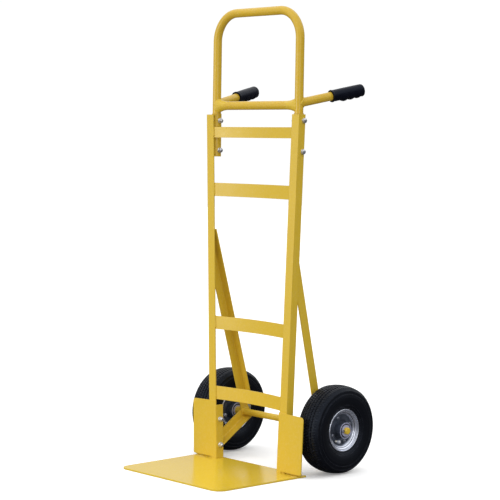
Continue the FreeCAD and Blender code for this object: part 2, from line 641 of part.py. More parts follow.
def rim_half():
    barrel = RIM_SEAT - RIM_WALL
    foot = RIM_HALF - RIM_FLANGE_LEAN
    dish = DISC_OUT - DISC_DISH
    outline = [
        (RIM_HALF - RIM_LIP, RIM_EDGE - RIM_LIP / 2), (RIM_HALF - RIM_LIP / 2, RIM_EDGE),
        (RIM_HALF, RIM_EDGE - RIM_LIP / 4), (RIM_HALF - RIM_LIP / 8, RIM_EDGE - RIM_LIP),
        (foot + RIM_LIP, RIM_SEAT - RIM_CLEARANCE), (foot - RIM_LIP / 2, barrel - RIM_LIP / 2),
        (DISC_OUT + RIM_LIP / 2, DISC_RIM + RIM_LIP / 2), (DISC_OUT, DISC_RIM),
        (DISC_OUT, DISC_FLAT), (dish, DISC_FLAT - DISC_SLOPE), (dish, HUB_RADIUS),
        (dish - RIM_WALL, HUB_RADIUS), (dish - RIM_WALL, DISC_FLAT - DISC_SLOPE + RIM_WALL / 2),
        (DISC_OUT - RIM_WALL, DISC_FLAT + RIM_WALL / 2), (DISC_OUT - RIM_WALL, barrel),
        (0.0, barrel), (0.0, RIM_SEAT), (foot, RIM_SEAT),
    ]
    shell = ring(outline)
    for place in rim_bolt_places():
        shell = shell.cut(rod(M6["shank"] + BOLT_CLEARANCE, place, place + X_AXIS * FAR))
    return shell


def around(angle, circle):
    turn = math.radians(angle)
    return Vec(0, circle * math.cos(turn), circle * math.sin(turn))


def rim_bolt_places():
    step = 360 / RIM_BOLT_COUNT
    return [around(RIM_BOLT_START + step * index, RIM_BOLT_CIRCLE) for index in range(RIM_BOLT_COUNT)]


def valve_line():
    base = around(VALVE_ANGLE, BEAD_RADIUS + RIM_CLEARANCE) + X_AXIS * VALVE_PLANE
    elbow = around(VALVE_ANGLE, VALVE_CIRCLE) + X_AXIS * VALVE_PLANE
    tip = around(VALVE_ANGLE, VALVE_CIRCLE) + X_AXIS * VALVE_END
    return base, elbow, tip


def outer_rim():
    base, elbow, tip = valve_line()
    radial = rod(VALVE_HOLE, elbow, base + (base - elbow))
    return rim_half().cut(radial).cut(rod(VALVE_HOLE, elbow, tip))


def inner_rim():
    return rim_half().mirror(Vec(0, 0, 0), X_AXIS)


def hub():
    body = tube_ring(BEARING_RADIUS, HUB_RADIUS, -HUB_HALF, HUB_HALF)
    inner = HUB_HALF - BEARING_INSET - BEARING_WIDTH
    return body.fuse(tube_ring(HUB_SHOULDER, BEARING_RADIUS, -inner, inner)).removeSplitter()


def bearings():
    bore = AXLE_RADIUS + BEARING_CLEARANCE
    face = HUB_HALF - BEARING_INSET
    body = tube_ring(bore, BEARING_RADIUS, face - BEARING_WIDTH, face)
    low = bore + BEARING_RACE
    high = BEARING_RADIUS - BEARING_RACE
    right = body.cut(tube_ring(low, high, face - BEARING_SHIELD, face + BEARING_SHIELD))
    return [right, mirrored(right)]


def rim_bolts():
    bolts = []
    nuts = []
    for place in rim_bolt_places():
        head_face = place + X_AXIS * DISC_OUT
        nut_face = place - X_AXIS * DISC_OUT
        tip = nut_face - X_AXIS * (M6["nut"] + BOLT_TAIL)
        head = hexagon(M6["flats"], head_face, X_AXIS, M6["head"])
        bolts.append(rod(M6["shank"], head_face, tip).fuse(head))
        nut = hexagon(M6["flats"], nut_face, X_AXIS * -1, M6["nut"])
        nuts.append(nut.cut(rod(M6["shank"] + THREAD_CLEARANCE, nut_face, tip)))
    return bolts, nuts


def valve_stem():
    base, elbow, tip = valve_line()
    stem = rod(VALVE_RADIUS, base, elbow).fuse(rod(VALVE_RADIUS, elbow, tip))
    return stem.fuse(Part.makeSphere(VALVE_RADIUS, elbow))


def valve_cap():
    tip = valve_line()[2]
    start = tip - X_AXIS * CAP_GRIP
    cap = rod(CAP_RADIUS, start, start + X_AXIS * CAP_LENGTH)
    return cap.cut(rod(VALVE_RADIUS + THREAD_CLEARANCE, start, tip + X_AXIS * THREAD_CLEARANCE))


def wheel_pieces():
    bolts, nuts = rim_bolts()
    return {
        "tyre": [tyre()],
        "inner_tube": [inner_tube()],
        "outer_rim": [outer_rim()],
        "inner_rim": [inner_rim()],
        "hub": [hub()],
        "bearings": bearings(),
        "rim_bolts": bolts,
        "rim_nuts": nuts,
        "valve_stem": [valve_stem()],
        "valve_cap": [valve_cap()],
    }


# ---- writing ----
def save_pair(name, shape):
    save("right_" + name, shape)
    save("left_" + name, mirrored(shape))


def save_both_sides(name, solids):
    save(name, group(solids + [mirrored(solid) for solid in solids]))


def save_bolts(name, places):
    bolts = []
    nuts = []
    washers = []
    for head_x, nut_x, y, z in places:
        bolt, nut, pair = cross_bolt(M8, head_x, nut_x, y, z)
        bolts.append(bolt)
        nuts.append(nut)
        washers.extend(pair)
    save_both_sides(name + "_bolts", bolts)
    save_both_sides(name + "_nuts", nuts)
    save_both_sides(name + "_washers", washers)


def main():
    os.makedirs("parts", exist_ok=True)
    save_pair("rail", rail())
    for name in BAR_HEIGHTS:
        save(name, crossbar(name))
    save("loop_handle", loop_handle())
    save_pair("handle_socket", handle_socket())
    save("cross_tube", cross_tube())
    save_pair("handle_leg", handle_leg())
    save_pair("grip", grip())
    save("toe_plate", toe_plate())
    save_pair("toe_bracket", toe_bracket())
    save_pair("rear_brace", rear_brace())
    save_pair("axle_strut", axle_strut())
    save("axle", axle())
    save_pair("axle_spacer", axle_spacer())
    save_both_sides("axle_washers", axle_washers())
    save_both_sides("split_pins", [split_pin()])
    washer_tilt = M8["washer"] * RAIL_SLOPE
    loop_places = []
    for z in LOOP_BOLT_HEIGHTS:
        loop_places.append((rail_half(z) + washer_tilt, LOOP_HALF - SOCKET_RADIUS, LOOP_Y, z))
    save_bolts("loop", loop_places)
    toe_places = []
    for z in TOE_BOLT_HEIGHTS:
        side_face = rail_half(z) - RAIL_FLANGE - BRACKET_WALL - washer_tilt
        toe_places.append((rail_half(z) + washer_tilt, side_face, RAIL_Y + TOE_BOLT_BACK, z))
    save_bolts("toe", toe_places)
    for name, solids in wheel_pieces().items():
        placed = [solid.copy().translate(Vec(WHEEL_X, AXLE_Y, AXLE_Z)) for solid in solids]
        save_pair(name, placed[0] if len(placed) == 1 else group(placed))


main()
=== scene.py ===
# %% [markdown]
# # A yellow hand truck with air-filled wheels
# The frame comes first. It is the measured model of the truck, cut into its real parts and already in place,
# so nothing in this lesson has to be fitted by eye. Each step then gives a part its finish, or puts a closer
# model in its place where the real part has detail that the measured one leaves out.

# %% Load the frame
import json
import math
import random

import bmesh
import bpy
import numpy as np
from mathutils import Matrix, Vector


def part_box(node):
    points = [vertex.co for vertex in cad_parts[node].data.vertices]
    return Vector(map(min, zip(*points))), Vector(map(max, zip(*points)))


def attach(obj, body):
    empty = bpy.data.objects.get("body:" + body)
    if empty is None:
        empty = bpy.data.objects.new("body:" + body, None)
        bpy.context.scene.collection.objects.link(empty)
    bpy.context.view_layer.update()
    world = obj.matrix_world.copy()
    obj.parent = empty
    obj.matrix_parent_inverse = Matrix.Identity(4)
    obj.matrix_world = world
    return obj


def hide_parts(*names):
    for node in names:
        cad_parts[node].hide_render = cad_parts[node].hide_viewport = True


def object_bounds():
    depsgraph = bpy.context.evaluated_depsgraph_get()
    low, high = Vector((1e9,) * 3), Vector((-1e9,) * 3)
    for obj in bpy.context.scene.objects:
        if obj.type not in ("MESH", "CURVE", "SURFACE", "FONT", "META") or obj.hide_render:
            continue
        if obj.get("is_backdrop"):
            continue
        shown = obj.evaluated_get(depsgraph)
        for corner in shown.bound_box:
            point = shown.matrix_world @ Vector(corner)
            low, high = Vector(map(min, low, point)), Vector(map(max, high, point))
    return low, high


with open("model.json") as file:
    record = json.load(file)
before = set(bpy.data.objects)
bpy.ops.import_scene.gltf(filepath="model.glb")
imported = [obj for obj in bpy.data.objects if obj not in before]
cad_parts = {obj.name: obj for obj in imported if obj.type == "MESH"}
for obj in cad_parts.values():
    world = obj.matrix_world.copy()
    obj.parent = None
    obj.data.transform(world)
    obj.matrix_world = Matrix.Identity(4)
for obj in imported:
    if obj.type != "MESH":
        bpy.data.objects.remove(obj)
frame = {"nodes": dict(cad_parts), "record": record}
cad_low, cad_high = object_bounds()
nodes = frame["nodes"]
SCENE = bpy.context.scene
print("parts in the frame:", len(nodes), "overall size:", [round(v, 3) for v in cad_high - cad_low])

# %% [markdown]
# ## Where things are
# A pair of corners gives each part's place. The middle of the pair is the middle of the part, and for a wheel
# that middle is a point on the axle. A part made of several solids, such as a set of bolts, is split into
# its islands, because each bolt needs its own place.


# %% Places
def middle_of(node):
    low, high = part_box(node)
    return (low + high) / 2


def islands_of(node):
    # corners of each separate solid in a part
    shape = bmesh.new()
    shape.from_mesh(nodes[node].data)
    bmesh.ops.remove_doubles(shape, verts=shape.verts, dist=1e-6)
    found, seen = [], set()
    for first in shape.verts:
        if first in seen:
            continue
        island, waiting = [], [first]
        seen.add(first)
        while waiting:
            corner = waiting.pop()
            island.append(corner.co.copy())
            for edge in corner.link_edges:
                other = edge.other_vert(corner)
                if other not in seen:
                    seen.add(other)
                    waiting.append(other)
        points = np.array(island)
        found.append((Vector(points.min(0)), Vector(points.max(0))))
    shape.free()
    return sorted(found, key=lambda pair: (round(pair[0].x, 4), round(pair[0].z, 4), round(pair[0].y, 4)))


def line_of(node):
    # the two ends of a straight round part, front one first, from the spread of its points
    points = np.array([corner.co for corner in nodes[node].data.vertices])
    centre = points.mean(0)
    along = np.linalg.svd(points - centre, full_matrices=False)[2][0]
    reach = (points - centre) @ along
    ends = Vector(centre + along * reach.min()), Vector(centre + along * reach.max())
    return sorted(ends, key=lambda end: end.y)


TYRE_LOW, TYRE_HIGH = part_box("right_tyre")
WHEEL_CENTRE = {"left": middle_of("left_tyre"), "right": middle_of("right_tyre")}
TYRE_RADIUS = (TYRE_HIGH.z - TYRE_LOW.z) / 2
TYRE_HALF = (TYRE_HIGH.x - TYRE_LOW.x) / 2
SIDES = {"left": -1, "right": 1}
print("tyre radius", round(TYRE_RADIUS, 4), "half width", round(TYRE_HALF, 4))

# %% [markdown]
# ## Shared effects
# A finish is never one flat colour. Five effects are used by several finishes, so each is a node group that is
# built once and given its own values in each material. Nodes could be linked one by one by hand, but a few
# short helpers make every link the same way, and a wrong name then stops the script at once.

# %% Helpers for nodes
FLOAT, COLOUR = "NodeSocketFloat", "NodeSocketColor"
WHITE, BLACK = (1, 1, 1, 1), (0, 0, 0, 1)
GROUPS = {}


def feed(tree, node, links):
    # each link is one of the node's inputs, with the socket or the plain value that it gets
    for label, source in links:
        socket = node.inputs[label]
        if isinstance(source, bpy.types.NodeSocket):
            tree.links.new(source, socket)
        else:
            socket.default_value = (*source, 1) if socket.type == "RGBA" else source


def add_node(tree, kind, links=(), **settings):
    node = tree.nodes.new(kind)
    for label, value in settings.items():
        setattr(node, label, value)
    feed(tree, node, links)
    return node


def noise(tree, scale, detail, roughness=0.5, at=None):
    # a soft random pattern, in the piece's own space unless another is given
    place = at or add_node(tree, "ShaderNodeTexCoord").outputs["Object"]
    return add_node(tree, "ShaderNodeTexNoise", [("Vector", place), ("Scale", scale), ("Detail", detail),
                    ("Roughness", roughness)]).outputs["Fac"]


def spread(tree, value, low=0.0, high=1.0, to_low=0.0, to_high=1.0, **settings):
    # carries values between low and high over to another range
    return add_node(tree, "ShaderNodeMapRange", [("Value", value), ("From Min", low), ("From Max", high),
                    ("To Min", to_low), ("To Max", to_high)], **settings).outputs["Result"]


def maths(tree, operation, *values, clamp=False):
    return add_node(tree, "ShaderNodeMath", enumerate(values), operation=operation, use_clamp=clamp).outputs[0]


def mix_colour(tree, mask, first, second):
    # first where the mask is 0, second where it is 1
    return add_node(tree, "ShaderNodeMix", [("Factor", mask), (6, first), (7, second)], data_type="RGBA").outputs[2]


def from_axle(tree):
    # how far along the axle a point is, and how far from the axle
    place = add_node(tree, "ShaderNodeTexCoord").outputs["Object"]
    parts = add_node(tree, "ShaderNodeSeparateXYZ", [(0, place)]).outputs
    flat = add_node(tree, "ShaderNodeCombineXYZ", [(1, parts["Y"]), (2, parts["Z"])]).outputs[0]
    return parts["X"], add_node(tree, "ShaderNodeVectorMath", [(0, flat)], operation="LENGTH").outputs["Value"]


def new_group(name, inputs, outputs):
    group = bpy.data.node_groups.new(name, "ShaderNodeTree")
    for label, start in inputs.items():
        kind = COLOUR if isinstance(start, tuple) else FLOAT
        group.interface.new_socket(name=label, in_out="INPUT", socket_type=kind).default_value = start
    for label, kind in outputs.items():
        group.interface.new_socket(name=label, in_out="OUTPUT", socket_type=kind)
    print("effect", name, "takes", list(inputs), "and gives", list(outputs))
    return group, group.nodes.new("NodeGroupInput").outputs, group.nodes.new("NodeGroupOutput")


print("an effect's inputs are of two kinds:", FLOAT, COLOUR)

# %% [markdown]
# ## Clouding
# A sprayed coat or a plated skin drifts a little in tone from place to place. Painting it on is slow, so a broad
# noise mixes two near colours instead. The noise itself is given out as well, to vary the gloss with it.

# %% Clouding of a colour
group, given, leave = new_group("clouded_colour", {"Colour": WHITE, "Deep": BLACK, "Scale": 8.0, "Amount": 0.3},
                                {"Colour": COLOUR, "Cloud": FLOAT})
cloud = spread(group, noise(group, given["Scale"], detail=4.0, roughness=0.55), low=0.3, high=0.7)
share = maths(group, "MULTIPLY", cloud, given["Amount"])
feed(group, leave, [("Colour", mix_colour(group, share, given["Colour"], given["Deep"])), ("Cloud", cloud)])
GROUPS["cloud"] = group

# %% [markdown]
# ## Orange peel
# Baked powder flows into fine pimples on top of slow waves. Both are too shallow to model, so they are a height
# for a bump: one fine noise, plus a share of a broad one.

# %% Orange peel
group, given, leave = new_group("orange_peel", {"Pimple": 900.0, "Wave": 25.0, "Wave Share": 0.5},
                                {"Height": FLOAT})
wave = maths(group, "MULTIPLY", noise(group, given["Wave"], detail=2.0), given["Wave Share"])
feed(group, leave, [("Height", maths(group, "ADD", noise(group, given["Pimple"], detail=1.0), wave))])
GROUPS["peel"] = group

# %% [markdown]
# ## Edges
# A coat is thin on an edge, and bare metal is rubbed bright there. Where a normal that is rounded by the Bevel
# node leaves the true one, there is an edge, so this mask needs no painting. A noise breaks it up, because wear
# comes in patches.

# %% Edges
# on black rubber, this edge mask also lays a painted highlight along the edges
group, given, leave = new_group("edge_wear_and_highlight_mask", {"Width": 0.001, "Patch": 60.0, "Reach": 0.5}, {"Mask": FLOAT})
true_normal = add_node(group, "ShaderNodeNewGeometry").outputs["Normal"]
soft_normal = add_node(group, "ShaderNodeBevel", [("Radius", given["Width"])], samples=6).outputs["Normal"]
same = add_node(group, "ShaderNodeVectorMath", [(0, true_normal), (1, soft_normal)], operation="DOT_PRODUCT")
on_edge = spread(group, same.outputs["Value"], low=0.985, high=0.80)
broken = spread(group, noise(group, given["Patch"], detail=3.0), low=0.42, high=0.62)
worn = maths(group, "MULTIPLY", on_edge, broken)
feed(group, leave, [("Mask", maths(group, "MULTIPLY", worn, given["Reach"], clamp=True))])
GROUPS["edge"] = group

# %% [markdown]
# ## Grain
# Turned metal carries fine rings round its axis. A noise that is read along the axle and outwards from it, and
# never round it, gives rings that no seam can break. A second noise is the stain of handling.

# %% Scratched grain
group, given, leave = new_group("metal_grain", {"Scale": 400.0, "Stretch": 12.0}, {"Height": FLOAT, "Tone": FLOAT})
along, reach = from_axle(group)
ring_place = add_node(group, "ShaderNodeCombineXYZ",
                      [(0, along), (1, maths(group, "MULTIPLY", reach, given["Stretch"]))]).outputs[0]
feed(group, leave, [("Height", noise(group, given["Scale"], detail=3.0, at=ring_place)),
                    ("Tone", noise(group, scale=45.0, detail=4.0))])
GROUPS["grain"] = group

# %% [markdown]
# ## Dust
# Dust sits in specks. The peaks of a rough noise are kept, and the rest is cut away.

# %% Dust
group, given, leave = new_group("settled_dust", {"Scale": 120.0, "Amount": 0.3}, {"Mask": FLOAT})
speck = spread(group, noise(group, given["Scale"], detail=6.0, roughness=0.7), low=0.48, high=0.75)
feed(group, leave, [("Mask", maths(group, "MULTIPLY", speck, given["Amount"], clamp=True))])
GROUPS["dust"] = group
print("shared effects:", sorted(GROUPS))

# %% [markdown]
# ## Finishes
# Every finish is one Principled shader. Its colour starts as a clouded pair of near tones, an edge or dust mask
# shifts it, and a bump gives it its skin. The Bevel node rounds the sharp arrises of the measured parts
# by about a millimetre, so that they catch a line of light as folded sheet does.

# %% Helpers for finishes
FINISH = {}
ROUGH_SPREAD = 0.12           # how much a finish's roughness drifts from place to place


def use_group(tree, name, **values):
    node = tree.nodes.new("ShaderNodeGroup")
    node.node_tree = GROUPS[name]
    feed(tree, node, [(label.replace("_", " "), value) for label, value in values.items()])
    return node.outputs


def new_finish(name):
    material = bpy.data.materials.new(name)
    material.use_nodes = True
    print("finish", name)
    return material, material.node_tree, material.node_tree.nodes["Principled BSDF"]


def add_skin(tree, shader, height, distance, strength, rounding):
    soft = add_node(tree, "ShaderNodeBevel", [("Radius", rounding)], samples=6)
    skin = add_node(tree, "ShaderNodeBump", [("Height", height), ("Distance", distance), ("Strength", strength),
                    ("Normal", soft.outputs["Normal"])])
    tree.links.new(skin.outputs["Normal"], shader.inputs["Normal"])


print("a finish drifts in roughness by", ROUGH_SPREAD)

# %% [markdown]
# ## Powder coat
# The frame is sprayed with dry yellow powder and baked. The coat is thick and fairly glossy, thinner and more orange
# on the edges, with a trace of pale dust. The handle's tubes get a slightly darker, more orange copy of the coat. The
# toe plate gets a lighter copy, painted light on its up-facing top, and its coat is smoother, with only slow waves,
# so that it shows soft streaks of the room.

# %% Yellow powder coat
THIN_PAINT, PALE_DUST = (0.55, 0.33, 0.05), (0.80, 0.74, 0.55)


def powder_coat(name, base, deep, rough, wave_share=0.6, peel_strength=0.22, pimple=650.0):
    material, tree, shader = new_finish(name)
    cloud = use_group(tree, "cloud", Colour=base, Deep=deep, Scale=9.0, Amount=0.35)
    edge = use_group(tree, "edge", Width=0.0012, Patch=70.0, Reach=0.55)
    peel = use_group(tree, "peel", Pimple=pimple, Wave=16.0, Wave_Share=wave_share)
    dust = use_group(tree, "dust", Scale=160.0, Amount=0.10)
    thin = mix_colour(tree, edge["Mask"], cloud["Colour"], THIN_PAINT)
    feed(tree, shader, [("Base Color", mix_colour(tree, dust["Mask"], thin, PALE_DUST)),
                        ("Roughness", spread(tree, cloud["Cloud"], to_low=rough, to_high=rough + ROUGH_SPREAD)),
                        ("Specular IOR Level", 0.38), ("Coat Weight", 0.06), ("Coat Roughness", 0.22)])
    add_skin(tree, shader, peel["Height"], distance=0.0006, strength=peel_strength, rounding=0.0008)
    return material


FINISH["yellow_paint"] = powder_coat("yellow_powder_coat", (0.68, 0.465, 0.032), (0.61, 0.405, 0.025), rough=0.30)
FINISH["tube_paint"] = powder_coat("handle_powder_coat", (0.64, 0.415, 0.024), (0.57, 0.360, 0.020), rough=0.28)
# a lighter copy of the yellow coat: painted light on the plate's up-facing top
FINISH["plate_paint_painted_light"] = powder_coat("toe_plate_powder_coat", (0.74, 0.515, 0.034), (0.68, 0.465, 0.028), rough=0.11,
                                    wave_share=2.5, peel_strength=0.015, pimple=45.0)

# %% [markdown]
# ## Plated metal
# Bolts and washers are zinc-plated, bearings are ground steel and valves are brass. They differ in colour, in
# roughness and in how far the plating has dulled, so one function makes them all. A dull, bluish zinc is no pure
# mirror any more, so it gets less than full metal. A dark zinc is painted shade: it darkens the rim's bolt heads and
# the split pins.


# %% Zinc, steel and brass
def plated_metal(name, base, deep, rough, edge_colour, metal=1.0):
    material, tree, shader = new_finish(name)
    cloud = use_group(tree, "cloud", Colour=base, Deep=deep, Scale=30.0, Amount=0.6)
    edge = use_group(tree, "edge", Width=0.0007, Patch=150.0, Reach=0.6)
    grain = use_group(tree, "grain", Scale=500.0, Stretch=10.0)
    feed(tree, shader, [("Base Color", mix_colour(tree, edge["Mask"], cloud["Colour"], edge_colour)),
                        ("Roughness", spread(tree, grain["Tone"], to_low=rough - 0.08, to_high=rough + ROUGH_SPREAD)),
                        ("Metallic", metal)])
    add_skin(tree, shader, grain["Height"], distance=0.0001, strength=0.25, rounding=0.0005)
    return material


METALS = {   # main colour, deeper colour, roughness, colour of a rubbed edge, how metallic
    "bearing_steel": ((0.52, 0.53, 0.55), (0.40, 0.41, 0.43), 0.25, (0.7, 0.7, 0.7), 1.0),
    "bolt_zinc": ((0.84, 0.86, 0.92), (0.62, 0.64, 0.70), 0.24, (0.93, 0.94, 0.97), 0.88),
    "valve_brass": ((0.74, 0.72, 0.66), (0.60, 0.57, 0.48), 0.3, (0.9, 0.87, 0.76), 1.0),
    "washer_zinc": ((0.56, 0.58, 0.80), (0.42, 0.43, 0.62), 0.45, (0.85, 0.86, 0.95), 0.35),
    "silver_cap": ((0.72, 0.74, 0.80), (0.60, 0.62, 0.68), 0.40, (0.85, 0.86, 0.9), 0.5),
    # painted shade: a dark zinc for the rim's bolt heads and the split pins
    "painted_shade_zinc": ((0.30, 0.32, 0.37), (0.18, 0.19, 0.23), 0.40, (0.5, 0.52, 0.56), 1.0),
}
for name, tones in METALS.items():
    FINISH[name] = plated_metal(name, *tones)

# %% [markdown]
# ## Rims
# The rim's sloped edge is painted bright and its disc painted dark, as painted reflection: of a bright sky on the
# slope, and of dark surroundings in the disc. The disc is also rougher. Two materials would need the mesh cut at the
# line between them, so one material changes with the distance from the axle instead.

# %% Pressed rim
DISC_REACH, DISC_BLEND = 0.0465, 0.001    # the dark-painted disc ends here, and over this length on either side
WORN_ZINC = (0.86, 0.88, 0.94)
DISC_ROUGH, SLOPE_ROUGH = 0.34, 0.22


def rim_metal(name, edge_tones, disc_tones):
    material, tree, shader = new_finish(name)
    slope = spread(tree, from_axle(tree)[1], DISC_REACH - DISC_BLEND, DISC_REACH + DISC_BLEND,
                   interpolation_type="SMOOTHSTEP")
    # painted reflection: the slope's bright tones and the disc's dark ones stand in for a bright sky and dark
    # surroundings
    bright = use_group(tree, "cloud", Colour=edge_tones[0], Deep=edge_tones[1], Scale=40.0, Amount=0.5)
    painted_dark_reflection = use_group(tree, "cloud", Colour=disc_tones[0], Deep=disc_tones[1], Scale=70.0, Amount=0.9)
    both = mix_colour(tree, slope, painted_dark_reflection["Colour"], bright["Colour"])
    edge = use_group(tree, "edge", Width=0.0009, Patch=150.0, Reach=0.7)
    grain = use_group(tree, "grain", Scale=420.0, Stretch=10.0)
    polish = spread(tree, slope, to_low=DISC_ROUGH, to_high=SLOPE_ROUGH)
    feed(tree, shader, [("Base Color", mix_colour(tree, edge["Mask"], both, WORN_ZINC)), ("Metallic", 0.85),
                        ("Roughness", maths(tree, "MULTIPLY_ADD", grain["Tone"], ROUGH_SPREAD, polish))])
    add_skin(tree, shader, grain["Height"], distance=0.0001, strength=0.25, rounding=0.0005)
    return material


# rim zinc with painted reflection, bright on the slope and dark on the disc and on anything else close to the axle
FINISH["rim_zinc"] = rim_metal("rim_zinc", ((0.80, 0.84, 0.95), (0.62, 0.66, 0.76)),
                               ((0.165, 0.19, 0.24), (0.09, 0.103, 0.135)))

# %% [markdown]
# ## Rubber
# New black rubber is nearly as dark as a surface gets, with a bluish gloss. Its edges are lightened to a bluish grey,
# partly wear and partly painted highlight, most on the tyre's blocks. Its gloss is set low and tinted, because a
# neutral one turns it grey. Tyre, tube, grip and cap differ in dust and in grain.

# %% Rubber and plastic
RUBBER_DUST, RUBBER_GLOSS = (0.10, 0.10, 0.105), (0.62, 0.76, 1.0)


def black_rubber(name, base, deep, rough, dust_amount, pimple, edge_wear_and_highlight_tone=0.03, shine=0.20):
    material, tree, shader = new_finish(name)
    cloud = use_group(tree, "cloud", Colour=base, Deep=deep, Scale=26.0, Amount=0.7)
    edge = use_group(tree, "edge", Width=0.0010, Patch=140.0, Reach=0.9)
    dust = use_group(tree, "dust", Scale=240.0, Amount=dust_amount)
    peel = use_group(tree, "peel", Pimple=pimple, Wave=90.0, Wave_Share=0.4)
    # edges lightened to a bluish grey: partly wear, partly painted highlight
    grey = mix_colour(tree, edge["Mask"], cloud["Colour"], (edge_wear_and_highlight_tone, edge_wear_and_highlight_tone * 1.1, edge_wear_and_highlight_tone * 1.5))
    feed(tree, shader, [("Base Color", mix_colour(tree, dust["Mask"], grey, RUBBER_DUST)),
                        ("Roughness", spread(tree, cloud["Cloud"], to_low=rough - 0.06, to_high=rough + 0.10)),
                        ("Specular IOR Level", shine), ("Specular Tint", RUBBER_GLOSS)])
    add_skin(tree, shader, peel["Height"], distance=0.0003, strength=0.5, rounding=0.0006)
    return material


# the tyre's block edges get the strongest painted highlight
FINISH["tyre"] = black_rubber("tyre_rubber", (0.0042, 0.0047, 0.0072), (0.003, 0.0032, 0.0045), rough=0.40,
                              dust_amount=0.03, pimple=900.0, edge_wear_and_highlight_tone=0.085)
FINISH["tube_rubber"] = black_rubber("inner_tube_rubber", (0.02, 0.02, 0.02), (0.01, 0.01, 0.01), rough=0.6,
                                     dust_amount=0.0, pimple=600.0)
FINISH["grip_rubber"] = black_rubber("grip_rubber", (0.0042, 0.0047, 0.011), (0.003, 0.0034, 0.007), rough=0.36,
                                     dust_amount=0.01, pimple=1300.0, edge_wear_and_highlight_tone=0.04, shine=0.15)
FINISH["cap_plastic"] = black_rubber("cap_plastic", (0.02, 0.02, 0.02), (0.012, 0.012, 0.012), rough=0.4,
                                     dust_amount=0.0, pimple=1500.0)

# %% [markdown]
# ## Which part gets which
# The frame's record names a finish for each part. A few parts get their own: the axle's washers, because the real
# ones differ, the toe plate, with a lighter copy of the coat that is painted light, and the tubes of the handle, with
# a darker copy.

# %% Give every measured part its finish
SLOT_OF = {part["node"]: part["material_slot"] for part in frame["record"]["subparts"]}
OWN_FINISH = {"toe_plate": "plate_paint_painted_light", "axle_washers": "washer_zinc"}
for handle_part in ("loop_handle", "cross_tube", "left_handle_leg", "right_handle_leg", "left_handle_socket",
                    "right_handle_socket"):
    OWN_FINISH[handle_part] = "tube_paint"
for node, thing in nodes.items():
    thing.data.materials.clear()
    thing.data.materials.append(FINISH[OWN_FINISH.get(node, SLOT_OF[node])])
print("parts with a finish:", len(SLOT_OF))

# %% [markdown]
# ## Turning and sweeping
# Most of the closer models are turned, like a tyre or a bolt, or drawn along a line, like a weld or a bent pin.
# Both are rings of points with four-cornered faces between them, so a few helpers make their meshes. Another puts a
# mesh into the scene, with its body and its finish, and hides the measured parts that it stands for.


# %% Rings of points
def ring_faces(rings, count, close_rings=True, close_count=True):
    # four-cornered faces between each ring of points and the next
    faces = []
    for ring in range(rings if close_rings else rings - 1):
        here, there = ring * count, (ring + 1) % rings * count
        for k in range(count if close_count else count - 1):
            nxt = (k + 1) % count
            faces.append((here + k, here + nxt, there + nxt, there + k))
    return faces


def turns_of(steps):
    return [2 * math.pi * step / steps for step in range(steps)]


def spun(profile, steps):
    return [(x, r * math.cos(turn), r * math.sin(turn)) for turn in turns_of(steps) for x, r in profile]


def turned(profile, steps):
    # a closed ring of profile points (along X, radius), turned round X
    return spun(profile, steps), ring_faces(steps, len(profile))


def solid_turned(profile, steps):
    # a turned solid that is closed on its axis at both ends of an open profile
    count, points = len(profile), spun(profile, steps)
    start, end = len(points), len(points) + 1
    points += [(profile[0][0], 0, 0), (profile[-1][0], 0, 0)]
    faces = ring_faces(steps, count, close_count=False)
    for step in range(steps):
        here, there = step * count, (step + 1) % steps * count
        faces += [(start, here, there), (end, there + count - 1, here + count - 1)]
    return points, faces


def capped(points, rings, count):
    # rings of points made into a bar, with a flat face at each end
    ends = [tuple(range(count)), tuple(range((rings - 1) * count, rings * count))]
    return points, ring_faces(rings, count, close_rings=False) + ends


def drawn_along(path, radius, sides=10):
    # a round bar along a path; radius is a number or a function of the share of the path
    path = [Vector(p) for p in path]
    points, side = [], None
    for k, place in enumerate(path):
        ahead = path[min(k + 1, len(path) - 1)] - path[max(k - 1, 0)]
        ahead.normalize()
        if side is None:
            side = ahead.orthogonal().normalized()
        side = (side - ahead * side.dot(ahead)).normalized()
        up = ahead.cross(side)
        size = radius(k / (len(path) - 1)) if callable(radius) else radius
        points += [place + (side * math.cos(turn) + up * math.sin(turn)) * size for turn in turns_of(sides)]
    return capped(points, len(path), sides)


print("a bar of 8 sides in 3 rings has", len(drawn_along([(0, 0, 0), (0, 0, 1), (0, 0, 2)], 1, 8)[1]), "faces")


# %% Joining, moving and rounding
def together(parts):
    points, faces = [], []
    for more_points, more_faces in parts:
        start = len(points)
        points += [tuple(p) for p in more_points]
        faces += [tuple(start + k for k in face) for face in more_faces]
    return points, faces


def moved(part, matrix):
    points, faces = part
    return [matrix @ Vector(p) for p in points], faces


def on_line(part, place):
    # puts a part made along X on the line through a place
    return moved(part, Matrix.Translation((0, place.y, place.z)))


def rounded(profile, passes=2, cut=0.25):
    # takes the corners off a closed profile, twice as finely at each pass
    for _ in range(passes):
        cornered = []
        for (x0, r0), (x1, r1) in zip(profile, profile[1:] + profile[:1]):
            cornered.append((x0 + (x1 - x0) * cut, r0 + (r1 - r0) * cut))
            cornered.append((x0 + (x1 - x0) * (1 - cut), r0 + (r1 - r0) * (1 - cut)))
        profile = cornered
    return profile


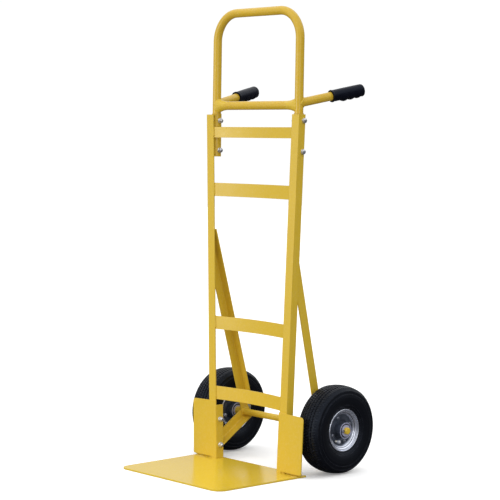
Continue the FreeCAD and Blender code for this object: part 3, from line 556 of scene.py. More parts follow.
def arc_through(first, middle, last, count):
    # points on the circle through three points, from first to last
    (ax, ay), (bx, by), (cx, cy) = first, middle, last
    d = 2 * (ax * (by - cy) + bx * (cy - ay) + cx * (ay - by))
    a2, b2, c2 = ax * ax + ay * ay, bx * bx + by * by, cx * cx + cy * cy
    ux = (a2 * (by - cy) + b2 * (cy - ay) + c2 * (ay - by)) / d
    uy = (a2 * (cx - bx) + b2 * (ax - cx) + c2 * (bx - ax)) / d
    start, end = math.atan2(ay - uy, ax - ux), math.atan2(cy - uy, cx - ux)
    if abs(end - start) > math.pi:
        end += 2 * math.pi if end < start else -2 * math.pi
    size = math.hypot(ax - ux, ay - uy)
    turns = [start + (end - start) * k / count for k in range(count + 1)]
    return [(ux + size * math.cos(t), uy + size * math.sin(t)) for t in turns]


print("a square with its corners off has", len(rounded([(0, 0), (0, 1), (1, 1), (1, 0)], passes=1)), "points")


# %% Into the scene
def mesh_of(name, part):
    mesh = bpy.data.meshes.new(name)
    mesh.from_pydata([tuple(p) for p in part[0]], [], part[1])
    shape = bmesh.new()
    shape.from_mesh(mesh)
    bmesh.ops.recalc_face_normals(shape, faces=shape.faces)
    shape.to_mesh(mesh)
    shape.free()
    return mesh


def smoothed(mesh, sharp=35.0):
    # smooth, but for edges that turn by more than so many degrees
    mesh.shade_smooth()
    mesh.set_sharp_from_angle(angle=math.radians(sharp))


def add_piece(name, part, finish, body, stands_for=(), at=(0, 0, 0), sharp=35.0):
    mesh = mesh_of(name, part)
    smoothed(mesh, sharp)
    mesh.materials.append(FINISH[finish])
    piece = bpy.data.objects.new(name, mesh)
    piece.location = at
    SCENE.collection.objects.link(piece)
    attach(piece, body)
    if stands_for:
        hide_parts(*stands_for)
    print(name, "faces", len(mesh.polygons))
    return piece


def add_to_wheel(side, name, part, finish, stands_for=None, sharp=35.0):
    # a piece of one wheel, made round the wheel's own centre
    hidden = [f"{side}_{stands_for}"] if stands_for else ()
    return add_piece(f"{side}_{name}", part, finish, side + "_wheel", hidden, WHEEL_CENTRE[side], sharp)


def add_weld(name, part):
    return add_piece(name, part, "yellow_paint", "frame", sharp=60.0)


def mesh_with_hole(piece, cutter_part):
    # cuts a part out of a piece with a Boolean, whose result becomes the piece's mesh
    cutter = bpy.data.objects.new("cutter", mesh_of("cutter", cutter_part))
    SCENE.collection.objects.link(cutter)
    cutter.matrix_world = piece.matrix_world.copy()
    cut = piece.modifiers.new("hole", "BOOLEAN")
    cut.object, cut.operation, cut.solver = cutter, "DIFFERENCE", "EXACT"
    bpy.context.view_layer.update()
    result = bpy.data.meshes.new_from_object(piece.evaluated_get(bpy.context.evaluated_depsgraph_get()))
    piece.modifiers.clear()
    piece.data = result
    smoothed(result)
    bpy.data.objects.remove(cutter)
    print(piece.name, "with a hole, faces", len(result.polygons))


# %% [markdown]
# ## Tyres
# The tyre has six ribs with narrow grooves between them, and short cross slits that make each rib a row of
# small blocks. The sidewall bulges past the rim and carries a few raised rings. One outline is turned round
# the axle in many narrow steps. The points at a slit are pushed in on two of every eight steps, and the ribs
# take turns, so that the slits of neighbours are half a block apart.

# %% Tyre sizes
INSET = 0.0004                # the rubber stays this far inside the measured tyre
BLOCKS = 96                   # blocks round each rib
RIBS = 6
GROOVE_HALF, GROOVE_FLOOR, GROOVE_DEPTH = 0.0016, 0.0008, 0.0038
GROOVE_ARRIS = 0.0003         # a rib's edge is worn down by this much
SLIT_DEPTH = 0.0026
TREAD_HALF = TYRE_HALF - 0.0115
CROWN_DROP = 0.0042
GROOVE_AT = [TREAD_HALF * (2 * k / RIBS - 1) for k in range(1, RIBS)]
STEPS_IN_BLOCK = (0.0, 0.05, 0.22, 0.27, 0.5, 0.55, 0.72, 0.77)
SLIT_STEPS = {0: (1, 2), 1: (5, 6)}   # the steps that a slit takes, in even and in odd rows
SIDE_SUNK = 0.0009            # the plain sidewall lies this far under its raised rings
RING_TOP = 0.55               # share of a ring's half width that is flat
RINGS = ((0.1165, 0.0014, 0.0008), (0.1060, 0.0016, 0.0008), (0.0985, 0.0030, 0.0004), (0.0745, 0.0012, 0.0007),
         (0.0685, 0.0012, 0.0007))   # radius, half width and height of each raised ring on the sidewall
BEAD, LIP = (0.0267, 0.0512), (0.0317, 0.0629)               # from here on, along the axle and away from it
BULGE, FOOT = (TYRE_HALF, 0.0923), (TYRE_HALF - 0.0022, TYRE_RADIUS - 0.021)
SHOULDER, TREAD_EDGE = (TYRE_HALF - 0.0052, TYRE_RADIUS - 0.0108), (TREAD_HALF, TYRE_RADIUS - CROWN_DROP)
EDGE_DROPS = (0.0007, 0.0017, 0.0031)                        # extra points just under the tread's edge
INSIDE = [(0.0180, 0.0512), (0.0190, 0.0545), (0.0290, 0.0630), (0.0322, 0.0800), (0.0310, 0.1080),
          (0.0180, 0.1200)]
print("grooves at", [round(at, 4) for at in GROOVE_AT])


# %% Tyre outline
def crown_height(x):
    size = (TREAD_HALF ** 2 + CROWN_DROP ** 2) / (2 * CROWN_DROP)
    return TYRE_RADIUS - (size - math.sqrt(size * size - x * x))


def flank_outline():
    # from the rim to the tread's edge: (along, radius, which row of blocks or None, how deep a slit is there)
    flank = arc_through(LIP, BULGE, FOOT, 120) + arc_through(FOOT, SHOULDER, TREAD_EDGE, 80)[1:]
    radii = list(np.linspace(LIP[1], TREAD_EDGE[1], 17)) + [TREAD_EDGE[1] - drop for drop in EDGE_DROPS]
    radii += [at + part * w for at, w, h in RINGS for part in (-1, -RING_TOP, RING_TOP, 1)]
    half = [(*BEAD, None, 0.0)]
    for r in sorted(radii):
        x = float(np.interp(r, [point[1] for point in flank], [point[0] for point in flank]))
        raised = sum(h * min(1.0, (1 - abs(r - at) / w) / (1 - RING_TOP)) for at, w, h in RINGS if abs(r - at) < w)
        share = max(0.0, (r - FOOT[1]) / (TREAD_EDGE[1] - FOOT[1]))
        sunk = SIDE_SUNK * (1 - share) if r > LIP[1] else 0.0
        on_shoulder = RIBS if r > FOOT[1] else None
        half.append((x - sunk + raised, float(r), on_shoulder, SLIT_DEPTH * max(0.0, share * 5.0 - 4.0)))
    return half


def crown_outline():
    crown = []
    edges = [-TREAD_HALF] + [at + s * GROOVE_HALF for at in GROOVE_AT for s in (-1, 1)] + [TREAD_HALF]
    for row in range(RIBS):
        start, end = edges[2 * row], edges[2 * row + 1]
        for share in (0.0, 0.15, 0.85, 1.0):
            x = start + (end - start) * share
            crown.append((x, crown_height(x) - (GROOVE_ARRIS if share in (0.0, 1.0) else 0.0), row, SLIT_DEPTH))
        if row < RIBS - 1:
            at = GROOVE_AT[row]
            crown += [(at + s * GROOVE_FLOOR, crown_height(at) - GROOVE_DEPTH, None, 0.0) for s in (-1, 1)]
    return crown


def tyre_outline():
    half = flank_outline()
    left = [(-x, r, row, d) for x, r, row, d in half]
    inner = [(x, r, None, 0.0) for x, r in INSIDE] + [(-x, r, None, 0.0) for x, r in INSIDE[::-1]]
    return left + crown_outline()[1:-1] + half[::-1] + inner


print("points in the tyre's outline:", len(tyre_outline()))


# %% Turn the tyres
def tyre_part():
    outline, points = tyre_outline(), []
    turns = [(block + share) / BLOCKS * 2 * math.pi for block in range(BLOCKS) for share in STEPS_IN_BLOCK]
    for index, turn in enumerate(turns):
        for x, r, row, depth in outline:
            # the shoulders follow the outer rows
            phase = (1 if x > 0 else 0) if row == RIBS else (row or 0) % 2
            cut = depth if row is not None and index % len(STEPS_IN_BLOCK) in SLIT_STEPS[phase] else 0.0
            reach = r - cut - INSET
            points.append((x, reach * math.cos(turn), reach * math.sin(turn)))
    return points, ring_faces(len(turns), len(outline))


for side in SIDES:
    add_to_wheel(side, "ribbed_tyre", tyre_part(), "tyre", "tyre", sharp=30.0)

# %% [markdown]
# ## Rims
# Each wheel has two pressed steel halves, bolted together through their discs. The edge that holds the tyre is
# rolled, with a shallow step inside it, and then the metal drops to a flat disc with a dish round the
# hub. One rounded outline, turned, makes a half. The outer half needs a hole for the valve, which a turned
# shape can't have, so a Boolean cuts it.

# %% Rim halves
RIM_OUTLINE = [
    (0.0302, 0.0606), (0.0312, 0.0621), (0.0328, 0.0626), (0.0340, 0.0614), (0.0340, 0.0600), (0.0328, 0.0590),
    (0.0306, 0.0586), (0.0298, 0.0576), (0.0299, 0.0562), (0.0290, 0.0545), (0.0272, 0.0519), (0.0258, 0.0505),
    (0.0256, 0.0495), (0.0244, 0.0481), (0.0212, 0.0463), (0.0200, 0.0444), (0.0200, 0.0380), (0.0200, 0.0318),
    (0.0192, 0.0298), (0.0172, 0.0276), (0.0170, 0.0236), (0.0153, 0.0236), (0.0154, 0.0282), (0.0182, 0.0324),
    (0.0182, 0.0450), (0.0178, 0.0486), (0.0150, 0.0491), (0.0003, 0.0491), (0.0003, 0.0507), (0.0246, 0.0507),
    (0.0262, 0.0522), (0.0287, 0.0570),
]
VALVE_PLACE = middle_of("right_valve_cap") - WHEEL_CENTRE["right"]
VALVE_HOLE, HOLE_FROM, HOLE_TO = 0.0042, 0.0120, 0.0260      # radius, and its reach along the axle
print("valve from the axle:", [round(v, 4) for v in VALVE_PLACE])

for side, out in SIDES.items():
    outline = rounded(RIM_OUTLINE)
    halves = [turned([(x * way, r) for x, r in outline], 144) for way in (out, -out)]
    rim = add_to_wheel(side, "outer_rim_half", halves[0], "rim_zinc", "outer_rim")
    add_to_wheel(side, "inner_rim_half", halves[1], "rim_zinc", "inner_rim")
    drill = solid_turned([(HOLE_FROM, VALVE_HOLE), (HOLE_TO, VALVE_HOLE)], 24)
    mesh_with_hole(rim, on_line(moved(drill, Matrix.Scale(out, 4, (1, 0, 0))), VALVE_PLACE))

# %% [markdown]
# ## Hub ends and bearings
# The hub is a short steel tube with a rounded lip at each end. Inside each end sits a ball bearing with a black
# rubber seal between two ground rings, set back a little. The seal's black is partly its own and partly painted shade
# for that recess, and shows as a dark ring round the axle's washer. All of it is turned, and the lips are a piece of
# their own, because they are brighter. The hub tube takes the rim's finish, so it carries the disc's painted dark
# reflection.

# %% Hub
HUB_LOW, HUB_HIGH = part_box("right_hub")
HUB_HALF, HUB_RADIUS = (HUB_HIGH.x - HUB_LOW.x) / 2, (HUB_HIGH.z - HUB_LOW.z) / 2
HUB_LIP, HUB_BORE, HUB_WAIST, BORE_FROM = 0.0011, 0.0211, 0.0165, 0.0262
HUB_END = HUB_HALF - HUB_LIP
HUB_OUTLINE = [(HUB_END, HUB_RADIUS - 0.0002), (HUB_END, HUB_BORE), (BORE_FROM, HUB_BORE), (BORE_FROM, HUB_WAIST)]
LIP_OUTLINE = [(HUB_END, HUB_RADIUS), (HUB_HALF - 0.0002, HUB_RADIUS - 0.0003), (HUB_HALF, HUB_RADIUS - 0.0010),
               (HUB_HALF - 0.0004, HUB_RADIUS - 0.0018), (HUB_END, HUB_RADIUS - 0.0021)]
for side in SIDES:
    tube = turned(HUB_OUTLINE + [(-x, r) for x, r in HUB_OUTLINE[::-1]], 120)
    # the rim's finish paints the hub tube dark, as painted reflection
    add_to_wheel(side, "hub_tube", tube, "rim_zinc", "hub")
    lips = together([turned([(x * way, r) for x, r in LIP_OUTLINE], 120) for way in (1, -1)])
    add_to_wheel(side, "hub_lips", lips, "washer_zinc")

# %% Bearings
BEARING_FACE, BEARING_BACK = 0.0385, 0.0265
INNER_RING, OUTER_RING = (0.01006, 0.0128), (0.0193, 0.0210)   # inside and outside radius
RING_CHAMFER = 0.0004
SEAL_OUTLINE = [(BEARING_BACK + 0.001, 0.0128), (BEARING_FACE - 0.0007, 0.0128), (BEARING_FACE - 0.0005, 0.0140),
                (BEARING_FACE - 0.0011, 0.0150), (BEARING_FACE - 0.0009, 0.0180), (BEARING_FACE - 0.0005, 0.0188),
                (BEARING_FACE - 0.0007, 0.0193), (BEARING_BACK + 0.001, 0.0193)]


def ring_outline(inner, outer):
    shoulder = BEARING_FACE - RING_CHAMFER
    return [(BEARING_BACK, inner), (shoulder, inner), (BEARING_FACE, inner + RING_CHAMFER),
            (BEARING_FACE, outer - RING_CHAMFER), (shoulder, outer), (BEARING_BACK, outer)]


def at_both_ends(outlines):
    return together([turned([(x * way, r) for x, r in outline], 96) for way in (1, -1) for outline in outlines])


for side in SIDES:
    rings = at_both_ends([ring_outline(*INNER_RING), ring_outline(*OUTER_RING)])
    add_to_wheel(side, "bearing_rings", rings, "bearing_steel", "bearings")
    # black seals, partly painted shade for the recess behind the washer
    add_to_wheel(side, "bearing_seals", at_both_ends([SEAL_OUTLINE]), "tube_rubber")

# %% [markdown]
# ## Bolts and nuts
# A real hexagon head has a chamfered crown, so its six sides end in curved arcs. The arcs come out by
# themselves when the chamfer is a cone: the further a point of the hexagon is from the axis, the lower the
# cone passes over it. Threads show only past the nuts, as fine ridges.

# %% Hexagons and threads
HEAD_DOME = 0.0012            # a bolt head's crown is this much higher in its middle
CROWN_SHARE = 0.94            # the flat crown's share of the distance across flats
CROWN_SLOPE = math.tan(math.radians(30))
PITCH, THREAD_DEPTH, THREAD_LENGTH = 0.00125, 0.0005, 0.0145


def hexagon_part(flats, start, end, bore=0.0, steps=72):
    # a hexagon along X from start to end, with its outer end chamfered and an optional bore
    out = 1 if end > start else -1
    crown = flats / 2 * CROWN_SHARE
    points = []
    for turn in turns_of(steps):
        off = (turn % (math.pi / 3)) - math.pi / 6
        reach = flats / 2 / math.cos(off)
        drop = (reach - crown) * CROWN_SLOPE
        if bore > 0:
            top = [(end, crown)]
        else:
            top = [(end - out * HEAD_DOME * share ** 2, crown * share) for share in (1.0, 0.8, 0.55, 0.25)]
            drop += HEAD_DOME
        ring = [(start, bore), (start, reach), (end - out * drop, reach), *top, (end, bore)]
        points += [(x, r * math.cos(turn), r * math.sin(turn)) for x, r in ring]
    return points, ring_faces(steps, len(ring), close_count=bore > 0)


def threaded_rod(radius, start, end, thread_from):
    # a rod along X with ridges from thread_from to its end, which is chamfered
    out = 1 if end > start else -1
    profile = [(start, radius), (thread_from, radius)]
    x = thread_from
    while (end - x) * out > PITCH * 1.5:
        profile += [(x + out * PITCH * 0.5, radius - THREAD_DEPTH), (x + out * PITCH, radius)]
        x += out * PITCH
    profile += [(end - out * 0.0006, radius - 0.0002), (end, radius - 0.0009)]
    return solid_turned(profile, 28)


print("a plain hexagon has", len(hexagon_part(0.013, 0, 0.005)[1]), "faces")

# %% Bolts and nuts in the boxes of their measured solids
M8, M6 = (0.013, 0.0053, 0.004), (0.010, 0.004, 0.003)       # across flats, height of the head, shank radius
COLLAR_SHARE, COLLAR = 0.97, 0.0004                          # the round land under a head


def ends_of(low, high):
    # the end of a bolt's or nut's box away from the truck's middle, then the near one, and the way out
    return (high.x, low.x, 1) if low.x > 0 else (low.x, high.x, -1)


def bolt_part(low, high, size):
    flats, head, shank = size
    head_end, tip, out = ends_of(low, high)
    under = head_end - out * head
    rod = threaded_rod(shank, under, tip, tip + out * THREAD_LENGTH)
    collar = solid_turned([(x, flats / 2 * COLLAR_SHARE) for x in (under, under + out * COLLAR)], 48)
    return on_line(together([rod, collar, hexagon_part(flats, under + out * 0.0003, head_end)]), (low + high) / 2)


def nut_part(low, high, size):
    start, end, out = ends_of(low, high)
    return on_line(hexagon_part(size[0], start, end, size[2] * 1.01), (low + high) / 2)


def set_of(make, node, size):
    return together([make(low, high, size) for low, high in islands_of(node)])


for kind in ("loop", "toe"):
    for make, what in ((bolt_part, "bolts"), (nut_part, "nuts")):
        add_piece(f"{kind}_hexagon_{what}", set_of(make, f"{kind}_{what}", M8), "bolt_zinc", "frame",
                  [f"{kind}_{what}"])
for side in SIDES:
    # the rim's bolt heads take the dark zinc, painted shade that keeps their highlights down
    for make, what, finish in ((bolt_part, "bolts", "painted_shade_zinc"), (nut_part, "nuts", "bolt_zinc")):
        part = moved(set_of(make, f"{side}_rim_{what}", M6), Matrix.Translation(-WHEEL_CENTRE[side]))
        add_to_wheel(side, "rim_hexagon_" + what, part, finish, "rim_" + what)

# %% [markdown]
# ## Valves
# The tube's valve is a bent brass stem that comes out through the rim, with a thread and a ribbed plastic cap.
# The stem is a bar drawn along a short bent route. The cap is turned, and then every third line of its
# points is pulled in to make the ribs.

# %% Valve stems and caps
STEM_RADIUS = 0.0036
STEM_INSIDE = ((0.009, 0.0510), (0.009, 0.0470), (0.009, 0.0420), (0.0094, 0.0392), (0.0106, 0.0380))
STEM_OUTSIDE = (0.0125, 0.016, 0.020)                        # along the axle, straight out to the thread
THREAD_FROM, CAP_OVERLAP = 0.0215, 0.0035
CAP_NOTCH = 0.93
for side, out in SIDES.items():
    low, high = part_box(side + "_valve_cap")
    centre = (low + high) / 2 - WHEEL_CENTRE[side]
    cap_in, cap_out = sorted((low.x - WHEEL_CENTRE[side].x, high.x - WHEEL_CENTRE[side].x), key=abs)
    cap_radius = (high.y - low.y) / 2
    from_centre = Vector((0, centre.y, centre.z))
    away = from_centre.normalized()
    route = [*STEM_INSIDE, *((x, from_centre.length) for x in STEM_OUTSIDE)]
    stem = drawn_along([Vector((x * out, 0, 0)) + away * r for x, r in route], STEM_RADIUS, 20)
    thread = threaded_rod(STEM_RADIUS, STEM_OUTSIDE[-1] * out, cap_in + out * CAP_OVERLAP, THREAD_FROM * out)
    add_to_wheel(side, "bent_valve", together([stem, on_line(thread, centre)]), "valve_brass",
                 "valve_stem")
    outline = [(cap_in, 0.92), (cap_in + out * 0.0004, 1.0), (cap_out - out * 0.0016, 1.0),
               (cap_out - out * 0.0004, 0.80), (cap_out, 0.62)]
    points, faces = solid_turned([(x, share * cap_radius) for x, share in outline], 72)
    ribbed = []
    for x, y, z in points:
        notch = CAP_NOTCH if round(math.degrees(math.atan2(z, y)) / 5) % 3 == 0 else 1.0
        ribbed.append((x, y * notch, z * notch))
    add_to_wheel(side, "ribbed_cap", on_line((ribbed, faces), centre), "silver_cap", "valve_cap")

# %% [markdown]
# ## Split pins
# A split pin is one half-round wire folded on itself. The fold is the eye, the two legs go through the axle side
# by side, and their ends are bent apart behind it. So it is drawn along one line: a leg, the eye, and the
# same leg mirrored.

# %% Split pins
AXLE_MIDDLE = middle_of("axle")
AXLE_LOW, AXLE_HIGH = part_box("axle")
AXLE_RADIUS = (AXLE_HIGH.z - AXLE_LOW.z) / 2
PIN_WIRE, PIN_EYE, PIN_GAP = 0.0011, 0.0034, 0.0009
PIN_TAIL = ((0.0050, 0.0072), (0.0022, 0.0030), (0.0006, 0.0012))   # past the axle, and off the pin's middle
pins = []
for low, high in islands_of("split_pins"):
    x = (low.x + high.x) / 2
    eye_at = low.y + PIN_EYE + PIN_WIRE
    tail = AXLE_MIDDLE.y + AXLE_RADIUS
    leg = [(tail + past, off) for past, off in PIN_TAIL]
    leg += [(y, PIN_GAP) for y in (tail - 0.0010, AXLE_MIDDLE.y, eye_at + PIN_EYE + 0.0010)]
    eye = [(eye_at + PIN_EYE * math.cos(t), PIN_EYE * math.sin(t)) for t in map(math.radians, range(24, 337, 16))]
    wire = leg + eye + [(y, -z) for y, z in leg[::-1]]
    pins.append(drawn_along([(x, y, z + AXLE_MIDDLE.z) for y, z in wire], PIN_WIRE, 12))
# the pins take the dark zinc, painted shade for the shaded side of the axle's end
add_piece("bent_split_pins", together(pins), "painted_shade_zinc", "frame", ["split_pins"])

# %% [markdown]
# ## Axle
# The axle is a plain bar, sawn off and turned to a broad chamfer at each end so that the wheels slide on. A hole
# for the split pin goes through each end. It is painted with the frame.

# %% Chamfered axle
CHAMFER = 0.0026
PIN_HOLE = 0.0023
bar = [(AXLE_LOW.x, AXLE_RADIUS - CHAMFER), (AXLE_LOW.x + CHAMFER, AXLE_RADIUS), (AXLE_HIGH.x - CHAMFER, AXLE_RADIUS),
       (AXLE_HIGH.x, AXLE_RADIUS - CHAMFER)]
axle_bar = add_piece("chamfered_axle", solid_turned(bar, 96), "yellow_paint", "frame", ["axle"],
                     (0, AXLE_MIDDLE.y, AXLE_MIDDLE.z))
drill = solid_turned([(-2 * AXLE_RADIUS, PIN_HOLE), (2 * AXLE_RADIUS, PIN_HOLE)], 24)
for low, high in islands_of("split_pins"):
    across = Matrix.Translation(((low.x + high.x) / 2, 0, 0)) @ Matrix.Rotation(math.pi / 2, 4, "Z")
    mesh_with_hole(axle_bar, moved(drill, across))

# %% [markdown]
# ## Grips
# The grips are moulded black rubber, closed and rounded at the end. The top is plain and the underside has four
# waves for the fingers. A turned surface whose radius depends on both the place along the grip and the
# turn round it gives the waves. A lip ends the rubber at its open end.

# %% Grips
GRIP_STEPS, GRIP_ROUND = 96, 72
GRIP_BODY, GRIP_TOP, GRIP_WAVE, GRIP_SWELL = 0.0168, 0.0186, 0.0046, 0.0004
LIP_LENGTH, LIP_FROM, LIP_TO = 0.0045, 0.0006, 0.0038
WAVE_START, WAVE_PITCH, WAVES = 0.030, 0.0235, 4
END_ROUND = 0.0115            # the closed end is rounded over this length
CROWDING = 1.15               # rings stand a little closer together towards the closed end


def grip_radius(along, length, under):
    end = length - along
    body = GRIP_BODY + GRIP_SWELL * math.sin(math.pi * min(1.0, along / length))
    if along < LIP_LENGTH:
        body = GRIP_TOP - 0.0004 if LIP_FROM < along < LIP_TO else GRIP_TOP - 0.0010
    wave = (along - WAVE_START) / WAVE_PITCH
    if 0 < wave < WAVES:
        body += GRIP_WAVE * math.sin(math.pi * (wave % 1.0)) ** 0.7 * max(0.0, under) ** 1.4
    if end < END_ROUND:
        body *= math.sqrt(max(0.0, 1 - ((END_ROUND - end) / END_ROUND) ** 2.4)) * 0.999 + 0.001
    return body


for side in SIDES:
    start, end = line_of(side + "_grip")
    along = (end - start).normalized()
    down = (Vector((0, 0, -1)) + along * along.z).normalized()
    across = along.cross(down)
    length = (end - start).length
    points = []
    for k in range(GRIP_STEPS + 1):
        station = length * (1 - (1 - k / GRIP_STEPS) ** CROWDING)
        for turn in turns_of(GRIP_ROUND):
            r = grip_radius(station, length, math.cos(turn))
            points.append(start + along * station + (down * math.cos(turn) + across * math.sin(turn)) * r)
    add_piece(side + "_moulded_grip", capped(points, GRIP_STEPS + 1, GRIP_ROUND), "grip_rubber", "frame",
              [side + "_grip"], sharp=50.0)

# %% [markdown]
# ## Welds
# The frame is welded, then coated, so its seams are smooth-topped beads in the same yellow. Where the tube
# between the handle's legs meets them, the weld is dressed into a broad flare. The flare is a sleeve whose
# radius grows towards the leg, above and below but not at the sides, where the two tubes are flush.

# %% Flares of the cross tube
TUBE_LOW, TUBE_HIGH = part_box("cross_tube")
TUBE_RADIUS = (TUBE_HIGH.z - TUBE_LOW.z) / 2
LEG_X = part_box("loop_handle")[1].x - TUBE_RADIUS
TUBE_Y, TUBE_Z = (TUBE_LOW.y + TUBE_HIGH.y) / 2, (TUBE_LOW.z + TUBE_HIGH.z) / 2
FLARE_LENGTH, FLARE_RISE, FLARE_RINGS, FLARE_ROUND = 0.042, 0.0078, 14, 64
SKIN_OVER, SKIN_UNDER = 0.00005, 0.0006       # the sleeve's outside and inside, off the tube's own surface
for side, out in SIDES.items():
    points = []
    for k in range(FLARE_RINGS + 1):
        share = k / FLARE_RINGS
        for turn in turns_of(FLARE_ROUND):
            grown = FLARE_RISE * share ** 2.6 * abs(math.cos(turn)) ** 1.6
            r = TUBE_RADIUS + SKIN_OVER + grown
            y, z = r * math.sin(turn), r * math.cos(turn)
            meet = LEG_X - math.sqrt(max(0.0, (TUBE_RADIUS - 0.0004) ** 2 - y * y))
            points.append((out * (meet - FLARE_LENGTH * (1 - share)), TUBE_Y + y, TUBE_Z + z))
    # two rings of an inner skin close the sleeve, one under its last ring and one under its first
    r = TUBE_RADIUS - SKIN_UNDER
    for k in (FLARE_RINGS, 0):
        for step, turn in enumerate(turns_of(FLARE_ROUND)):
            x = points[k * FLARE_ROUND + step][0]
            points.append((x, TUBE_Y + r * math.sin(turn), TUBE_Z + r * math.cos(turn)))
    add_weld(side + "_tube_weld", (points, ring_faces(FLARE_RINGS + 3, FLARE_ROUND)))

# %% Beads
BEAD_STEP, RIPPLE, END_TAPER = 0.0007, 0.0022, 0.003


def bead(path, size, seed):
    # a weld bead with its ripples; the ends taper
    random.seed(seed)
    path = [Vector(p) for p in path]
    lengths = [(b - a).length for a, b in zip(path, path[1:])]
    total = sum(lengths)
    count = max(6, int(total / BEAD_STEP))
    fine, walked, index = [], 0.0, 0
    for k in range(count + 1):
        target = total * k / count
        while index < len(lengths) - 1 and walked + lengths[index] < target:
            walked += lengths[index]
            index += 1
        share = min(1.0, (target - walked) / lengths[index])
        fine.append(path[index].lerp(path[index + 1], share))
    ripple = [random.uniform(0.9, 1.1) for _ in range(int(total / RIPPLE) + 2)]

    def radius(share):
        place = share * total / RIPPLE
        lump = ripple[int(place)] * (0.90 + 0.10 * abs(math.sin(math.pi * place)))
        return size * lump * min(1.0, min(share, 1 - share) * total / END_TAPER + 0.25)

    return drawn_along(fine, radius, 12)


def saddle(centre, main, branch, main_radius, branch_radius, steps=48):
    # the line where a round branch leaves a round main tube
    side = main.cross(branch).normalized()
    lift = branch.cross(side).normalized()
    path = []
    for turn in turns_of(steps) + [2 * math.pi]:
        offset = side * (math.cos(turn) * branch_radius) + lift * (math.sin(turn) * branch_radius)
        # walk along the branch until the point is on the main tube
        flat = offset - main * offset.dot(main)
        along = branch - main * branch.dot(main)
        a, b = along.length_squared, 2 * flat.dot(along)
        c = flat.length_squared - main_radius ** 2
        reach = (-b + math.sqrt(max(0.0, b * b - 4 * a * c))) / (2 * a)
        path.append(centre + offset + branch * reach)
    return path


print("a straight bead of 20 mm has", len(bead([(0, 0, 0), (0.02, 0, 0)], 0.002, 1)[1]), "faces")

# %% Beads of the handles
TUBE_SKIN = TUBE_RADIUS + 0.0003
beads = []
for side, out in SIDES.items():
    start, end = line_of(side + "_grip")
    along = (end - start).normalized()
    foot = start + along * ((TUBE_Y - start.y) / along.y)
    path = saddle(Vector((out * LEG_X, TUBE_Y, foot.z)), Vector((0, 0, 1)), along, TUBE_SKIN, TUBE_SKIN)
    beads.append(bead(path, 0.0024, 10 + out))
add_weld("handle_welds", together(beads))

# %% The lean of the rails
RAIL_LOW, RAIL_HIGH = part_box("right_rail")
RAIL_FLANGE, SHEET = 0.029, 0.003
rail_points = np.array([corner.co for corner in nodes["right_rail"].data.vertices])
rail_x, rail_z = rail_points[:, 0], rail_points[:, 2]
CORNER_LOW = rail_x[rail_z < rail_z.min() + 0.001].max()
CORNER_HIGH = rail_x[rail_z > rail_z.max() - 0.001].max()
CORNER_SLOPE = (CORNER_HIGH - CORNER_LOW) / (RAIL_HIGH.z - RAIL_LOW.z)


def corner_x(z):
    # the rails lean apart, so their outer corner is further out higher up
    return CORNER_LOW + (z - RAIL_LOW.z) * CORNER_SLOPE


print("a rail leans out by", round(math.degrees(math.atan(CORNER_SLOPE)), 2), "degrees")

# %% Beads of the rails
BAR_BEAD, FOOT_BEAD, AXLE_BEAD = 0.0019, 0.0028, 0.0022
SLOT_BEAD = 0.0022            # fills the slot between a wing's foot and the plate, behind the wing
beads = []
for bar in ("top_crossbar", "upper_crossbar", "lower_crossbar", "bottom_crossbar"):
    low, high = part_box(bar)
    for side, out in SIDES.items():
        ends = [Vector((out * (corner_x(z) - RAIL_FLANGE - 0.0004), RAIL_LOW.y + SHEET - 0.0006, z))
                for z in (low.z + 0.004, high.z - 0.004)]
        beads.append(bead(ends, BAR_BEAD, 20 + out))
for side, out in SIDES.items():
    ends = [Vector((out * (corner_x(0.006) - x), RAIL_LOW.y + 0.0262, 0.0052)) for x in (0.001, 0.026)]
    beads.append(bead(ends, FOOT_BEAD, 30 + out))
    ring = [Vector((out * (corner_x(AXLE_MIDDLE.z) - 0.0064), AXLE_MIDDLE.y + 0.0112 * math.cos(t),
                    AXLE_MIDDLE.z + 0.0112 * math.sin(t))) for t in map(math.radians, range(0, 361, 10))]
    beads.append(bead(ring, AXLE_BEAD, 40 + out))
for side, out in SIDES.items():
    wing_low, wing_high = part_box(side + "_toe_bracket")
    reach = max(abs(wing_low.x), abs(wing_high.x))
    ends = [Vector((out * x, wing_low.y + 2.4 * SHEET, wing_low.z + SLOT_BEAD))
            for x in (corner_x(wing_low.z) + 0.001, reach - 0.008)]
    beads.append(bead(ends, SLOT_BEAD, 50 + out))
add_weld("frame_welds", together(beads))

# %% [markdown]
# ## Floor and surround
# The truck stands on a plain pale floor, in front of a plain white surround. Bright metal and gloss need
# something dark to reflect, or they look like paper. So the floor and the low part of the surround are white
# only where the camera sees them, and darker for reflected and bounced rays. The surround is darkest on the
# far right, which gives the metal there its contrast. A black card beside the set would do the same, but it
# would show in other views.

# %% Floor
FLOOR_HALF, FLOOR_GAP, FLOOR_GLOW = 15.0, 0.0002, 0.22
BOUNCED_FLOOR, REFLECTED_FLOOR = (0.24, 0.235, 0.23), (0.05, 0.05, 0.055)
floor_mesh = bpy.data.meshes.new("floor")
floor_mesh.from_pydata([(x * FLOOR_HALF, y * FLOOR_HALF, 0) for x, y in ((-1, -1), (1, -1), (1, 1), (-1, 1))], [],
                       [(0, 1, 2, 3)])
floor = bpy.data.objects.new("floor", floor_mesh)
floor.location = (0, 0, cad_low.z - FLOOR_GAP)
SCENE.collection.objects.link(floor)
floor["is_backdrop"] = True
floor_paint, tree, shader = new_finish("pale_floor")
pale = use_group(tree, "cloud", Colour=(0.93, 0.93, 0.93), Deep=(0.90, 0.90, 0.905), Scale=1.5, Amount=0.4)
ray = add_node(tree, "ShaderNodeLightPath").outputs
unseen = mix_colour(tree, ray["Is Glossy Ray"], BOUNCED_FLOOR, REFLECTED_FLOOR)
tone = mix_colour(tree, ray["Is Camera Ray"], unseen, pale["Colour"])
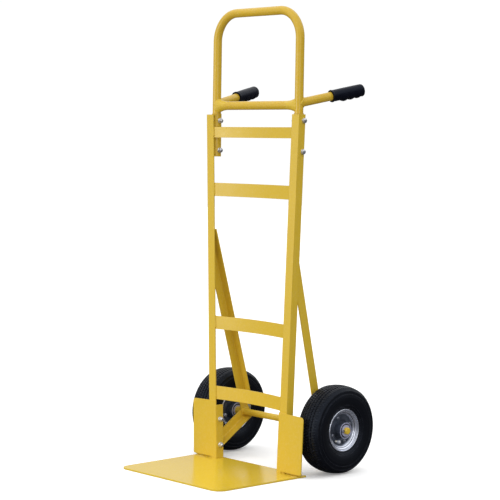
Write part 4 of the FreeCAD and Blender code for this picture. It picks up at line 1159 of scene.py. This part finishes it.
feed(tree, shader, [("Base Color", tone), ("Emission Color", tone), ("Emission Strength", FLOOR_GLOW),
                    ("Roughness", 0.9), ("Specular IOR Level", 0.1)])
floor_mesh.materials.append(floor_paint)
print("floor at", round(floor.location.z, 4))

# %% Surround
SKY_HIGH, SKY_SEEN = 1.33, 1.03               # brightness overhead, and for the camera
DARK_SIDE = (0.86, 0.51, 0.0)                 # the low sky is darkest this way
LOW_BRIGHT, LOW_DARK = 0.52, 0.04
world = bpy.data.worlds.new("studio")
SCENE.world = world
world.use_nodes = True
sky = world.node_tree
place = add_node(sky, "ShaderNodeTexCoord").outputs["Generated"]
height = add_node(sky, "ShaderNodeSeparateXYZ", [(0, place)]).outputs["Z"]
toward = add_node(sky, "ShaderNodeVectorMath", [(0, place), (1, DARK_SIDE)], operation="DOT_PRODUCT")
low_sky = spread(sky, toward.outputs["Value"], low=-0.4, high=0.7, to_low=LOW_BRIGHT, to_high=LOW_DARK)
climb = spread(sky, height, low=0.08, high=0.55, to_low=low_sky, to_high=SKY_HIGH, interpolation_type="SMOOTHSTEP")
seen = add_node(sky, "ShaderNodeLightPath").outputs["Is Camera Ray"]
level = add_node(sky, "ShaderNodeMix", [("Factor", seen), (2, climb), (3, SKY_SEEN)], data_type="FLOAT")
feed(sky, sky.nodes["Background"], [("Strength", level.outputs[0]), ("Color", (0.995, 0.998, 1.0))])
print("surround from", LOW_DARK, "low on the dark side to", SKY_HIGH, "overhead")

# %% [markdown]
# ## Lights
# Two large soft lights stand in front of the truck. The strong one is on the left, so the faces that look that
# way are the brightest. The weak one fills the right side. Both hang low, because the surround already lights
# the top.


# %% Soft lights
def soft_light(name, place, aim, size, power, colour):
    data = bpy.data.lights.new(name, "AREA")
    data.shape, data.size, data.energy, data.color = "SQUARE", size, power, colour
    lamp = bpy.data.objects.new(name, data)
    lamp.location = place
    lamp.rotation_euler = (Vector(aim) - Vector(place)).to_track_quat("-Z", "Y").to_euler()
    SCENE.collection.objects.link(lamp)


soft_light("key", place=(-2.0, -4.4, 0.55), aim=(0, 0, 0.25), size=2.2, power=92.0, colour=(1.0, 0.985, 0.96))
soft_light("side", place=(3.2, -2.0, 0.8), aim=(0, 0, 0.3), size=1.8, power=26.0, colour=(1.0, 1.0, 1.0))

# %% [markdown]
# ## Camera
# The camera stands to the front right, a little above the truck's middle, with a long lens that keeps the rails
# nearly parallel. It is placed from its turn, drop and distance, which are easier to adjust than a place.

# %% Camera
CAMERA_AIM = Vector((0.0218, 0.0, 0.6478))
CAMERA_TURN, CAMERA_DROP, CAMERA_ROLL = math.radians(46.70), math.radians(3.706), math.radians(0.912)
CAMERA_DISTANCE, CAMERA_LENS, CAMERA_SENSOR = 4.7683, 117.04, 36.0
forward = Vector((-math.sin(CAMERA_TURN) * math.cos(CAMERA_DROP), math.cos(CAMERA_TURN) * math.cos(CAMERA_DROP),
                  -math.sin(CAMERA_DROP)))
level_right = Vector((math.cos(CAMERA_TURN), math.sin(CAMERA_TURN), 0))
level_up = level_right.cross(forward)
right = level_right * math.cos(CAMERA_ROLL) + level_up * math.sin(CAMERA_ROLL)
up = level_up * math.cos(CAMERA_ROLL) - level_right * math.sin(CAMERA_ROLL)
camera_data = bpy.data.cameras.new("camera")
camera_data.lens, camera_data.sensor_width = CAMERA_LENS, CAMERA_SENSOR
camera = bpy.data.objects.new("camera", camera_data)
camera.matrix_world = Matrix.Translation(CAMERA_AIM - forward * CAMERA_DISTANCE) @ Matrix(
    (right, up, -forward)).transposed().to_4x4()
SCENE.collection.objects.link(camera)
SCENE.camera = camera
SCENE.view_settings.view_transform = "Standard"
print("camera height", round(camera.location.z, 3))

# %% [markdown]
# ## Sizes, and finish
# The closer models must not be larger than the measured ones that they stand for. Both boxes are written down,
# so that they can be compared after every change.

# %% Sizes, and finish
low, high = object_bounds()
print("inside the measured box by", [round(v, 4) for v in list(low - cad_low) + list(cad_high - high)])
